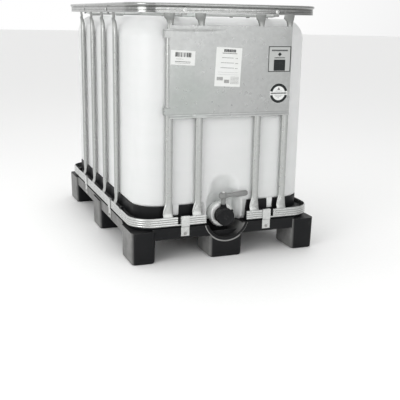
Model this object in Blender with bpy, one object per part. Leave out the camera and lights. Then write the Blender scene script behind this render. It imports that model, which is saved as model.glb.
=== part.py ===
"""Intermediate bulk container: a blow-moulded bottle in a tray on a plastic pallet,
held by a cage of upright bars between two steel rails, with an outlet valve in front.

Metres, +Z up.  The origin is the centre of the footprint at floor level.
The outlet faces -Y, the long side of the footprint runs along Y.
"""
import math

import bmesh
import bpy
from mathutils import Vector

# ---- driving dimensions ---------------------------------------------------------
WIDTH = 0.800                  # footprint across the front
LENGTH = 1.200                 # footprint front to back
HEIGHT = 0.997                 # floor to the top rail's stacking edge
GAP = 0.0003                   # clearance between pieces that touch

# pallet
FORK_HEIGHT = 0.092            # clear height of the fork openings
DECK_TOP = 0.131
BEAM_TOP = 0.137               # raised lip along the middle of each side
BEAM_INSET = 0.008             # beams stand back from the blocks by this much
LIP_HALF = 0.311
CORNER_BLOCK = (0.100, 0.160)  # size along X and Y
END_BLOCK = (0.142, 0.160)
SIDE_BLOCK = (0.100, 0.140)
CENTRE_BLOCK = (0.142, 0.140)
BLOCK_RADIUS = 0.018
SKIN = 0.010                   # deck thickness over the pockets below it

# bottle and tray
BOTTLE_HALF = (0.366, 0.559)
BOTTLE_RADIUS = 0.100
BOTTLE_TOP = 0.945
SHOULDER = 0.080               # radius of the rounding at the top
WALL = 0.004
FOOT_INSET = 0.008             # the bottle's lower part stands back inside the tray
TRAY_TOP = 0.220
TRAY_FLANGE_TOP = 0.166
TRAY_FLANGE_HALF = (0.386, 0.586)
TRAY_WALL = 0.0055
TRAY_FLOOR = 0.005
LEG_X = 0.207                  # bottle legs that fill the notches in the tray wall
LEG_BOTTOM = 0.181
NICHE_HALF = 0.070
NICHE_TOP = 0.352
NICHE_DEPTH = 0.057

# rails and bars
RAIL_LOW = (0.145, 0.182)
RAIL_LOW_HALF = (0.395, 0.595)
RAIL_LOW_RADIUS = 0.090
RAIL_LOW_THICK = 0.004
RAIL_GAP = 0.089               # half opening of the bottom rail at the valve
RAIL_TOP_Z = 0.961
RAIL_TOP_HALF = (0.388, 0.588)  # inner face
RAIL_TOP_RADIUS = 0.105
BAR_WIDTH = 0.029
BAR_DEPTH = 0.020
BAR_PLANE_END = 0.028          # bar centre line from the footprint's edge, front and rear
BAR_PLANE_SIDE = 0.0205        # and on the long sides
BAR_X = (-0.248, -0.125, 0.125, 0.248)
BAR_Y = (-0.300, -0.100, 0.100, 0.300)
CLAMP_X = 0.178
CLAMP_Y = 0.230
CLAMP_WIDTH = 0.035
CLAMP_THICK = 0.0025
HOOK_Y = 0.400                 # snap hooks of the tray

# hold-down cross bars
CROSS_X = 0.190
CROSS_Y = 0.212
CROSS_RADIUS = 0.008
CROSS_LOW = 0.9575
CROSS_HIGH = 0.9745
RIVET_Z = 0.9715
RIVET_RADIUS = 0.0035

# label plate
PLATE_X = (-0.245, 0.265)
PLATE_Z = (0.570, 0.917)
PLATE_Y = -0.5825
SHEET = 0.0012

# valve, on an axis along Y
VALVE_Z = 0.162
NECK_RADIUS = 0.036
BORE_RADIUS = 0.0235
NECK_START = -0.5023           # against the niche's back wall
NECK_END = -0.530
GASKET_THICK = 0.0025
STEM_Y = -0.556
STEM_RADIUS = 0.005
DISC_RADIUS = 0.0237
LEVER_Z = 0.250
LEVER_REACH = 0.100
CAP_RADIUS = 0.035
CAP_END = -0.592
SCOOP_RADIUS = 0.098
SCOOP_INNER = 0.084
SCOOP_Z = 0.165
SCOOP_DEPTH = 0.095             # front to back
SCOOP_BACK = -0.4985           # the scoop is hollow back to here, under the outlet

# fill opening
FILL_RADIUS = 0.066
FILL_BORE = 0.058
FILL_TOP = 0.968
LID_RADIUS = 0.080
LID_TOP = 0.980

COLOURS = {
    "black_plastic": ((0.020, 0.021, 0.023), 0.50, 0.0),
    "bottle_plastic": ((0.86, 0.88, 0.86), 0.42, 0.0),
    "galvanised_steel": ((0.60, 0.61, 0.62), 0.38, 0.9),
    "bar_steel": ((0.66, 0.67, 0.68), 0.42, 0.8),
    "plate_steel": ((0.50, 0.52, 0.52), 0.45, 0.8),
    "grey_plastic": ((0.33, 0.34, 0.34), 0.45, 0.0),
    "nut_metal": ((0.62, 0.63, 0.63), 0.30, 0.9),
    "rubber": ((0.03, 0.03, 0.03), 0.80, 0.0),
}


def material(name):
    """One Principled material from the table of colours."""
    colour, roughness, metallic = COLOURS[name]
    made = bpy.data.materials.new(name)
    made.use_nodes = True
    shader = made.node_tree.nodes["Principled BSDF"]
    shader.inputs["Base Color"].default_value = (*colour, 1.0)
    shader.inputs["Roughness"].default_value = roughness
    shader.inputs["Metallic"].default_value = metallic
    return made


# ---- building blocks ------------------------------------------------------------
def make_object(name, bm, finish=None, origin=(0, 0, 0)):
    """Turn a bmesh in world coordinates into an object whose origin is at a given place."""
    bmesh.ops.translate(bm, verts=bm.verts, vec=-Vector(origin))
    bmesh.ops.recalc_face_normals(bm, faces=bm.faces)
    mesh = bpy.data.meshes.new(name)
    bm.to_mesh(mesh)
    bm.free()
    made = bpy.data.objects.new(name, mesh)
    made.location = origin
    bpy.context.scene.collection.objects.link(made)
    if finish is not None:
        mesh.materials.append(material(finish))
        mesh.shade_smooth()
        mesh.set_sharp_from_angle(angle=math.radians(35))
    return made


def combine(target, tool, operation):
    """Add or cut with a hidden tool object."""
    tool.hide_render = True
    tool.display_type = "WIRE"
    step = target.modifiers.new(tool.name, "BOOLEAN")
    step.operation = operation
    step.object = tool
    step.solver = "EXACT"


def add(target, bm, name):
    combine(target, make_object(name, bm), "UNION")


def cut(target, bm, name):
    combine(target, make_object(name, bm), "DIFFERENCE")


def loft(sections, closed=False):
    """Skin a list of equal-length point loops, with end caps unless it closes on itself."""
    bm = bmesh.new()
    rings = [[bm.verts.new(point) for point in section] for section in sections]
    count = len(rings[0])
    spans = len(rings) if closed else len(rings) - 1
    for i in range(spans):
        low, high = rings[i], rings[(i + 1) % len(rings)]
        for j in range(count):
            k = (j + 1) % count
            bm.faces.new((low[j], low[k], high[k], high[j]))
    if not closed:
        bm.faces.new(rings[0][::-1])
        bm.faces.new(rings[-1])
    return bm


def box(x, y, z):
    """A box from pairs of limits."""
    loops = [[(x[0], y[0], h), (x[1], y[0], h), (x[1], y[1], h), (x[0], y[1], h)] for h in z]
    return loft(loops)


def rounded(half_x, half_y, radius, steps=6, centre=(0.0, 0.0)):
    """Outline of a rounded rectangle, counter-clockwise from the front right corner."""
    points = []
    for corner, (sx, sy) in enumerate(((1, -1), (1, 1), (-1, 1), (-1, -1))):
        start = math.radians(-90 + 90 * corner)
        for i in range(steps + 1):
            angle = start + math.radians(90) * i / steps
            points.append((centre[0] + sx * (half_x - radius) + radius * math.cos(angle),
                           centre[1] + sy * (half_y - radius) + radius * math.sin(angle)))
    return points


def rounded_solid(levels, steps=6, centre=(0.0, 0.0)):
    """Loft rounded rectangles through levels of (z, half_x, half_y, radius)."""
    return loft([[(x, y, z) for x, y in rounded(hx, hy, r, steps, centre)]
                 for z, hx, hy, r in levels])


def turned(profile, axis, centre, sides=32, lobes=0, lobe_height=0.0):
    """Loft circles of (position along the axis, radius); lobes raise grips on the wide ones."""
    widest = max(radius for _, radius in profile)
    sections = []
    for along, radius in profile:
        loop = []
        for i in range(sides):
            angle = 2 * math.pi * i / sides
            r = radius
            if lobes and radius > 0.97 * widest:
                r += lobe_height * max(0.0, math.cos(lobes * angle)) ** 0.5
            a, b = r * math.cos(angle), r * math.sin(angle)
            if axis == "Z":
                loop.append((centre[0] + a, centre[1] + b, along))
            else:
                loop.append((centre[0] + a, along, centre[1] + b))
        sections.append(loop)
    return loft(sections)


def tube_ring(outer, inner, start, end, axis, centre, sides=32):
    """A plain ring: outer and inner walls between two planes across the axis."""
    profile = ((start, outer), (end, outer), (end, inner), (start, inner))
    sections = []
    for along, radius in profile:
        loop = []
        for i in range(sides):
            angle = 2 * math.pi * i / sides
            a, b = radius * math.cos(angle), radius * math.sin(angle)
            place = (centre[0] + a, centre[1] + b, along) if axis == "Z" \
                else (centre[0] + a, along, centre[1] + b)
            loop.append(place)
        sections.append(loop)
    return loft(sections, closed=True)


def sweep(stations, width_axis, sides=12, power=2.4):
    """Loft flattened round sections along a path.

    Each station is (position, tangent, width, thickness); the width lies along width_axis.
    """
    sections = []
    across = Vector(width_axis)
    for position, tangent, width, thickness in stations:
        normal = Vector(tangent).normalized().cross(across)
        loop = []
        for i in range(sides):
            angle = 2 * math.pi * (i + 0.5) / sides
            c, s = math.cos(angle), math.sin(angle)
            a = math.copysign(abs(c) ** (2 / power), c) * width / 2
            b = math.copysign(abs(s) ** (2 / power), s) * thickness / 2
            loop.append(Vector(position) + across * a + normal * b)
        sections.append(loop)
    return loft(sections)


def side_frame(side):
    """Width direction and outward direction of a side of the footprint."""
    return {"front": (Vector((1, 0, 0)), Vector((0, -1, 0)), LENGTH / 2),
            "rear": (Vector((-1, 0, 0)), Vector((0, 1, 0)), LENGTH / 2),
            "left": (Vector((0, -1, 0)), Vector((-1, 0, 0)), WIDTH / 2),
            "right": (Vector((0, 1, 0)), Vector((1, 0, 0)), WIDTH / 2)}[side]


# ---- pallet ---------------------------------------------------------------------
def block_list():
    """Centre and size of the nine feet."""
    blocks = []
    for sx in (-1, 0, 1):
        for sy in (-1, 0, 1):
            if sx and sy:
                size = CORNER_BLOCK
            elif sy:
                size = END_BLOCK
            elif sx:
                size = SIDE_BLOCK
            else:
                size = CENTRE_BLOCK
            centre = (sx * (WIDTH - size[0]) / 2, sy * (LENGTH - size[1]) / 2)
            blocks.append((centre, size))
    return blocks


def make_pallet():
    beam_x, beam_y = WIDTH / 2 - BEAM_INSET, LENGTH / 2 - BEAM_INSET
    pallet = make_object("pallet", rounded_solid([(FORK_HEIGHT, beam_x, beam_y, 0.03),
                                                  (DECK_TOP, beam_x, beam_y, 0.03)]),
                         "black_plastic")
    middle_feet = {-1: "pallet_foot_front", 0: "pallet_foot_centre", 1: "pallet_foot_rear"}
    for number, (centre, size) in enumerate(block_list()):
        half_x, half_y = size[0] / 2, size[1] / 2
        in_middle = centre[0] == 0.0
        top = FORK_HEIGHT - GAP if in_middle else DECK_TOP
        foot = rounded_solid([(0.0, half_x - 0.003, half_y - 0.003, BLOCK_RADIUS),
                              (0.006, half_x, half_y, BLOCK_RADIUS),
                              (top, half_x, half_y, BLOCK_RADIUS)], 3, centre)
        if not in_middle:
            add(pallet, foot, f"pallet_foot_{number}")
            continue
        end = (centre[1] > 0) - (centre[1] < 0)
        made = make_object(middle_feet[end], foot, "black_plastic")
        if end:
            head = rounded_solid([(FORK_HEIGHT, half_x, half_y, BLOCK_RADIUS),
                                  (DECK_TOP, half_x, half_y, BLOCK_RADIUS)], 3, centre)
            add(pallet, head, f"foot_head_{number}")
        if end < 0:
            cut_for_scoop(made, SCOOP_RADIUS + GAP, "foot")
    lip = 0.0045
    for sy in (-1, 1):
        edges = sorted((sy * beam_y, sy * (beam_y - lip)))
        add(pallet, box((-LIP_HALF, LIP_HALF), edges, (DECK_TOP - 0.01, BEAM_TOP)), f"lip_y{sy}")
    for sx in (-1, 1):
        edges = sorted((sx * beam_x, sx * (beam_x - lip)))
        add(pallet, box(edges, (-0.43, 0.43), (DECK_TOP - 0.01, BEAM_TOP)), f"lip_x{sx}")

    cut_for_scoop(pallet, SCOOP_RADIUS + GAP, "deck")

    # half-round scoop under the valve
    front = -LENGTH / 2
    scoop = make_object("valve_scoop", tube_ring(SCOOP_RADIUS, SCOOP_INNER, front,
                                                 front + SCOOP_DEPTH, "Y", (0, SCOOP_Z), 40),
                        "black_plastic")
    cut(scoop, box((-0.2, 0.2), (front - 0.01, front + 0.12), (BEAM_TOP, 0.30)), "scoop_trim")
    cut(scoop, box((-0.2, 0.2), (front + BEAM_INSET + lip, front + 0.12), (DECK_TOP, 0.30)),
        "scoop_deck_trim")

    # pockets under the deck, between the feet
    for number, (x, y, half_x, half_y) in enumerate(pocket_list()):
        pocket = box((x - half_x, x + half_x), (y - half_y, y + half_y),
                     (FORK_HEIGHT - 0.01, DECK_TOP - SKIN))
        cut(pallet, pocket, f"pocket_{number}")
    return pallet


def cut_for_scoop(target, radius, name):
    """Make room for the scoop and carry its hollow on behind it."""
    front = -LENGTH / 2
    cut(target, turned([(front - 0.01, radius), (front + SCOOP_DEPTH + GAP, radius)],
                       "Y", (0, SCOOP_Z), 40), f"{name}_scoop_seat")
    cut(target, turned([(front - 0.01, SCOOP_INNER), (SCOOP_BACK, SCOOP_INNER)],
                       "Y", (0, SCOOP_Z), 40), f"{name}_scoop_hollow")


def pocket_list():
    """Rectangular pockets in the deck's underside: centre and half sizes."""
    pockets = []
    for sx in (-1, 1):
        for row in range(6):
            pockets.append((sx * 0.186, (row - 2.5) * 0.150, 0.095, 0.066))
    return pockets


# ---- tray -----------------------------------------------------------------------
def make_tray():
    bottom = DECK_TOP + GAP
    hx, hy = BOTTLE_HALF
    fx, fy = TRAY_FLANGE_HALF
    tray = make_object("base_tray", rounded_solid([(bottom, fx, fy, 0.085),
                                                   (TRAY_FLANGE_TOP - 0.004, fx, fy, 0.085),
                                                   (TRAY_FLANGE_TOP, fx - 0.004, fy - 0.004, 0.081),
                                                   (TRAY_FLANGE_TOP, hx, hy, BOTTLE_RADIUS),
                                                   (TRAY_TOP, hx, hy, BOTTLE_RADIUS)]),
                       "black_plastic")
    inner = [(z, hx - TRAY_WALL, hy - TRAY_WALL, BOTTLE_RADIUS - TRAY_WALL)
             for z in (bottom + TRAY_FLOOR, TRAY_TOP + 0.05)]
    cut(tray, rounded_solid(inner), "tray_hollow")
    for sy in (-1, 1):
        for sx in (-1, 1):
            edges = sorted((sy * (hy - 0.03), sy * (hy + 0.01)))
            slot = box((sx * LEG_X - 0.0145, sx * LEG_X + 0.0145), edges,
                       (LEG_BOTTOM - 0.002, TRAY_TOP + 0.01))
            cut(tray, slot, f"tray_slot_{sx}_{sy}")
    # wide opening for the valve
    opening = loft([[(-w, y, z) for w, z in ((0.094, 0.10), (0.098, 0.186), (0.106, 0.24),
                                             (-0.106, 0.24), (-0.098, 0.186), (-0.094, 0.10))]
                    for y in (-0.62, -0.5525)])
    cut(tray, opening, "tray_opening")
    cut(tray, turned([(-0.62, SCOOP_INNER), (SCOOP_BACK, SCOOP_INNER)], "Y", (0, SCOOP_Z), 40),
        "tray_scoop")
    # snap hooks over the bottom rail
    rail_inner = RAIL_LOW_HALF[0] - RAIL_LOW_THICK
    for sx in (-1, 1):
        for sy in (-1, 1):
            y = (sy * HOOK_Y - 0.007, sy * HOOK_Y + 0.007)
            stalk = box(sorted((sx * (fx - 0.006), sx * (rail_inner - 0.0005))), y,
                        (TRAY_FLANGE_TOP - 0.012, RAIL_LOW[1] + 0.008))
            add(tray, stalk, f"hook_stalk_{sx}_{sy}")
            beak = box(sorted((sx * (fx - 0.002), sx * (RAIL_LOW_HALF[0] + 0.001))),
                       (y[0] + 0.001, y[1] - 0.001),
                       (RAIL_LOW[1] + 0.001, RAIL_LOW[1] + 0.006))
            add(tray, beak, f"hook_beak_{sx}_{sy}")
    return tray


# ---- bottle ---------------------------------------------------------------------
def bottle_levels(offset):
    """Levels of the bottle's body, moved inwards by offset."""
    hx, hy = BOTTLE_HALF
    bottom = DECK_TOP + GAP + TRAY_FLOOR + GAP
    step_z = TRAY_TOP + 0.001
    levels = []
    for z, inset in ((bottom, FOOT_INSET + 0.012), (bottom + 0.012, FOOT_INSET),
                     (step_z, FOOT_INSET), (step_z + 0.003, 0.0)):
        levels.append((z, inset))
    for i in range(7):
        angle = math.radians(90) * i / 6
        levels.append((BOTTLE_TOP - SHOULDER + SHOULDER * math.sin(angle),
                       SHOULDER * (1 - math.cos(angle))))
    result = []
    for z, inset in levels:
        height = z
        if z <= bottom:
            height = z + offset
        elif z >= BOTTLE_TOP - 1e-6:
            height = z - offset
        elif z > BOTTLE_TOP - SHOULDER:
            height = z - offset * (z - BOTTLE_TOP + SHOULDER) / SHOULDER
        shrink = inset + offset
        result.append((height, hx - shrink, hy - shrink, max(0.02, BOTTLE_RADIUS - shrink)))
    return result


def niche(offset):
    """Arched niche above the valve, its back sloping forward to nothing at the top."""
    front, hy = -0.62, BOTTLE_HALF[1]
    spring = NICHE_TOP - NICHE_HALF
    outline = [(0.10, NICHE_HALF), (0.21, NICHE_HALF), (spring, NICHE_HALF)]
    for i in range(1, 7):
        angle = math.radians(82) * i / 6
        outline.append((spring + NICHE_HALF * math.sin(angle), NICHE_HALF * math.cos(angle)))
    sections = []
    for z, half in outline:
        depth = NICHE_DEPTH * min(1.0, (NICHE_TOP - z) / (NICHE_TOP - 0.21))
        back = -hy + depth + offset
        half += offset
        z += offset if z > spring else 0.0
        sections.append([(-half, front, z), (half, front, z), (half * 0.94, back, z),
                         (-half * 0.94, back, z)])
    return loft(sections)


def make_bottle():
    bottle = make_object("bottle", rounded_solid(bottle_levels(0.0), 6), "bottle_plastic")
    cut(bottle, niche(0.0), "niche_outer")
    for sy in (-1, 1):
        for sx in (-1, 1):
            edges = sorted((sy * (BOTTLE_HALF[1] - 0.02), sy * BOTTLE_HALF[1]))
            leg = box((sx * LEG_X - 0.0135, sx * LEG_X + 0.0135), edges,
                      (LEG_BOTTOM, TRAY_TOP + 0.01))
            add(bottle, leg, f"bottle_leg_{sx}_{sy}")
    hollow = make_object("bottle_hollow", rounded_solid(bottle_levels(WALL), 6))
    cut(hollow, niche(WALL), "niche_inner")
    combine(bottle, hollow, "DIFFERENCE")
    cut(bottle, turned([(BOTTLE_TOP - 0.03, FILL_BORE), (FILL_TOP + 0.01, FILL_BORE)],
                       "Z", (0, 0), 40), "fill_bore")
    cut(bottle, turned([(NECK_START + 0.006, BORE_RADIUS), (NECK_END - 0.01, BORE_RADIUS)],
                       "Y", (0, VALVE_Z), 32), "outlet_bore")
    make_object("fill_neck", tube_ring(FILL_RADIUS, FILL_BORE, BOTTLE_TOP + GAP, FILL_TOP,
                                       "Z", (0, 0), 40), "bottle_plastic")
    make_object("outlet_neck", tube_ring(NECK_RADIUS, BORE_RADIUS, NECK_START, NECK_END,
                                         "Y", (0, VALVE_Z), 32), "bottle_plastic")
    return bottle


# ---- rails ----------------------------------------------------------------------
def rail_path(half, radius, steps, gap=0.0):
    """Points and outward normals round a rounded rectangle, from the front middle."""
    path = []
    if gap:
        path.append((Vector((gap, -half[1], 0)), Vector((0, -1, 0))))
    for corner, (sx, sy) in enumerate(((1, -1), (1, 1), (-1, 1), (-1, -1))):
        start = math.radians(-90 + 90 * corner)
        centre = Vector((sx * (half[0] - radius), sy * (half[1] - radius), 0))
        for i in range(steps + 1):
            angle = start + math.radians(90) * i / steps
            normal = Vector((math.cos(angle), math.sin(angle), 0))
            path.append((centre + normal * radius, normal))
    if gap:
        path.append((Vector((-gap, -half[1], 0)), Vector((0, -1, 0))))
    return path


def rail_solid(profile, path, closed):
    """Sweep a profile of (outward offset, z) along a path."""
    sections = [[point + normal * out + Vector((0, 0, z)) for out, z in profile]
                for point, normal in path]
    return loft(sections, closed)


def make_bottom_rail():
    low, high = RAIL_LOW
    thick = RAIL_LOW_THICK
    profile = [(0.0, low), (thick - 0.001, low)]
    ribs = 4
    pitch = (high - low) / ribs
    for i in range(ribs):
        base = low + i * pitch
        profile += [(thick - 0.0014, base + 0.1 * pitch), (thick, base + 0.3 * pitch),
                    (thick, base + 0.7 * pitch), (thick - 0.0014, base + 0.9 * pitch)]
    profile += [(thick - 0.001, high), (0.0, high)]
    half = (RAIL_LOW_HALF[0] - thick, RAIL_LOW_HALF[1] - thick)
    path = rail_path(half, RAIL_LOW_RADIUS - thick, 6, RAIL_GAP)
    rail = make_object("bottom_rail", rail_solid(profile, path, False), "galvanised_steel")
    for sx in (-1, 1):
        slot = box(sorted((sx * 0.1975, sx * 0.2095)), (-0.61, -0.57), (low + 0.007, high + 0.01))
        cut(rail, slot, f"rail_slot_{sx}")
    return rail


def make_top_rail():
    low, top = RAIL_TOP_Z, HEIGHT
    profile = [(0.0, low), (0.0, top - 0.002), (0.002, top), (0.007, top), (0.0092, top - 0.002),
               (0.010, top - 0.006), (0.0092, top - 0.011), (0.007, top - 0.0135),
               (0.0038, top - 0.0145), (0.0038, top - 0.0165), (0.0055, top - 0.018),
               (0.0055, low + 0.002), (0.004, low)]
    path = rail_path(RAIL_TOP_HALF, RAIL_TOP_RADIUS, 6)
    rail = make_object("top_rail", rail_solid(profile[::-1], path, True), "galvanised_steel")
    for name, side, along in rivet_list():
        across, out, edge = side_frame(side)
        place = across * along + out * edge
        cut(rail, rivet_hole(place, out, 0.03), f"{name}_hole")
    return rail


# ---- bars -----------------------------------------------------------------------
def make_bar(name, side, along):
    """Upright bar: a round tube with flattened ends that lean out to the rails."""
    across, out, edge = side_frame(side)
    centre = edge - (BAR_PLANE_END if side in ("front", "rear") else BAR_PLANE_SIDE)
    low_end = edge - (WIDTH / 2 - RAIL_LOW_HALF[0]) - RAIL_LOW_THICK - GAP - 0.0015
    top_end = edge - (WIDTH / 2 - RAIL_TOP_HALF[0]) - GAP - 0.0015
    shape = ((0.148, low_end, 0.041, 0.003), (0.183, low_end, 0.041, 0.003),
             (0.200, low_end - 0.007, 0.038, 0.008), (0.240, centre, BAR_WIDTH, BAR_DEPTH),
             (0.895, centre, BAR_WIDTH, BAR_DEPTH), (0.930, centre + 0.004, 0.036, 0.012),
             (0.953, top_end - 0.002, 0.044, 0.005), (0.962, top_end, 0.045, 0.003),
             (0.979, top_end, 0.045, 0.003))
    stations = []
    for z, distance, width, depth in shape:
        place = across * along + out * distance + Vector((0, 0, z))
        stations.append((place, (0, 0, 1), width, depth))
    return make_object(name, sweep(stations, across, 10), "bar_steel")


def make_bars():
    for side in ("front", "rear"):
        for number, x in enumerate(BAR_X, 1):
            make_bar(f"{side}_bar_{number}", side, x)
    for side in ("left", "right"):
        for number, y in enumerate(BAR_Y, 1):
            make_bar(f"{side}_bar_{number}", side, y)


# ---- cross bars and rivets ------------------------------------------------------
def rivet_list():
    """Name, side and place along the side of each cross-bar rivet."""
    places = []
    for side in ("front", "rear"):
        for number, along in enumerate((-CROSS_X, CROSS_X), 1):
            places.append((f"{side}_rivet_{number}", side, along))
    for side in ("left", "right"):
        for number, along in enumerate((-CROSS_Y, CROSS_Y), 1):
            places.append((f"{side}_rivet_{number}", side, along))
    return places


def rivet_hole(place, out, length):
    """A short round cutter through the rail, along the outward direction."""
    across = out.cross(Vector((0, 0, 1)))
    sections = []
    for step in (-length, length):
        loop = []
        for i in range(12):
            angle = 2 * math.pi * i / 12
            radial = across * math.cos(angle) + Vector((0, 0, 1)) * math.sin(angle)
            loop.append(place + Vector((0, 0, RIVET_Z)) + out * step
                        + radial * (RIVET_RADIUS + GAP))
        sections.append(loop)
    return loft(sections)


def make_cross_bar(name, side, along, height):
    """Hold-down bar across the top rail, its ends flattened and bent up against the rail."""
    across, out, edge = side_frame(side)
    end = edge - (WIDTH / 2 - RAIL_TOP_HALF[0]) - GAP - 0.0015
    round_bar = 2 * CROSS_RADIUS
    up, level = Vector((0, 0, 1)), -out
    # distance from the middle, height, direction of travel, width, thickness
    half = [(end, CROSS_LOW + 0.0205, -up, 0.024, 0.003),
            (end, CROSS_LOW + 0.0065, -up, 0.024, 0.003),
            (end - 0.003, CROSS_LOW + 0.0005, -up - out, 0.024, 0.004),
            (end - 0.012, CROSS_LOW - 0.001, level, 0.022, 0.006),
            (end - 0.035, CROSS_LOW, level, round_bar, round_bar)]
    if height > CROSS_LOW:
        half += [(0.262, CROSS_LOW, level, round_bar, round_bar),
                 (0.225, height, level, round_bar, round_bar)]
    stations = []
    for distance, z, direction, width, thickness in half:
        place = across * along + out * distance + up * z
        stations.append((place, direction, width, thickness))
    for distance, z, direction, width, thickness in reversed(half):
        place = across * along - out * distance + up * z
        mirrored = Vector(direction)
        mirrored.z = -mirrored.z
        stations.append((place, mirrored, width, thickness))
    bar = make_object(name, sweep(stations, across, 10), "bar_steel")
    for sign in (1, -1):
        place = across * along + out * sign * end
        cut(bar, rivet_hole(place, out, 0.01), f"{name}_hole_{sign}")
    return bar


def make_rivet(name, side, along):
    """A rivet through the rail and the end of a cross bar."""
    across, out, edge = side_frame(side)
    inner = edge - (WIDTH / 2 - RAIL_TOP_HALF[0])
    face = inner + 0.0055 + GAP
    back = inner - 0.003 - 3 * GAP
    profile = ((back - 0.003, 0.004), (back - 0.002, 0.005), (back, 0.0055),
               (back, RIVET_RADIUS), (face, RIVET_RADIUS), (face, 0.0075),
               (face + 0.0025, 0.0065), (face + 0.0036, 0.004))
    sections = []
    for distance, radius in profile:
        loop = []
        for i in range(12):
            angle = 2 * math.pi * i / 12
            radial = across * math.cos(angle) + Vector((0, 0, 1)) * math.sin(angle)
            loop.append(across * along + out * distance + Vector((0, 0, RIVET_Z))
                        + radial * radius)
        sections.append(loop)
    return make_object(name, loft(sections), "galvanised_steel")


def make_hold_downs():
    for number, x in enumerate((-CROSS_X, CROSS_X), 1):
        make_cross_bar(f"long_cross_bar_{number}", "front", x, CROSS_LOW)
    for number, y in enumerate((-CROSS_Y, CROSS_Y), 1):
        make_cross_bar(f"short_cross_bar_{number}", "right", y, CROSS_HIGH)
    for name, side, along in rivet_list():
        make_rivet(name, side, along)


# ---- clamps ---------------------------------------------------------------------
def make_clamp(name, side, along):
    """Strap bent over the bottom rail and screwed to the pallet's beam."""
    across, out, edge = side_frame(side)
    rail = edge - (WIDTH / 2 - RAIL_LOW_HALF[0])
    beam = edge - BEAM_INSET
    t = CLAMP_THICK
    outer = rail + GAP + t
    low, high = RAIL_LOW
    inner = rail - RAIL_LOW_THICK - GAP
    profile = [(inner - t, high - 0.010), (inner, high - 0.010), (inner, high + GAP),
               (rail + GAP, high + GAP), (rail + GAP, low - 0.0015), (beam + GAP, low - 0.0045),
               (beam + GAP, 0.102), (beam + GAP + t, 0.102), (beam + GAP + t, low - 0.0065),
               (outer, low - 0.0030), (outer, high + GAP + t), (inner - t, high + GAP + t)]
    sections = []
    for shift in (-CLAMP_WIDTH / 2, CLAMP_WIDTH / 2):
        sections.append([across * (along + shift) + out * distance + Vector((0, 0, z))
                         for distance, z in profile])
    return make_object(name, loft(sections), "galvanised_steel")


def make_clamps():
    for side, place in (("front", CLAMP_X), ("rear", CLAMP_X),
                        ("left", CLAMP_Y), ("right", CLAMP_Y)):
        for number, along in enumerate((-place, place), 1):
            make_clamp(f"{side}_clamp_{number}", side, along)


# ---- label plate ----------------------------------------------------------------
def make_label_plate():
    x0, x1 = PLATE_X
    z0, z1 = PLATE_Z
    front = PLATE_Y - SHEET
    profile = [(PLATE_Y, z1), (front, z1), (front, z0 + 0.012), (front - 0.004, z0),
               (front - 0.004 + SHEET, z0), (PLATE_Y, z0 + 0.0118)]
    plate = make_object("label_plate", loft([[(x, y, z) for y, z in profile]
                                             for x in (x0, x1)]), "plate_steel")
    add(plate, box((x1 - SHEET, x1), (front, -0.566), (z0 + 0.02, z1 - 0.024)),
        "plate_side_fold")
    bar_edge = BAR_X[0] - BAR_WIDTH / 2
    for number, (low, high) in enumerate(((z0 + 0.014, z0 + 0.040), (z1 - 0.045, z1 - 0.014))):
        add(plate, box((bar_edge - 0.003, x0 + 0.01), (front, PLATE_Y), (low, high)),
            f"plate_ear_{number}")
        add(plate, box((bar_edge - 0.003, bar_edge - 0.003 + SHEET), (front, -0.566),
                       (low, high)), f"plate_hook_{number}")
    return plate


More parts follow.
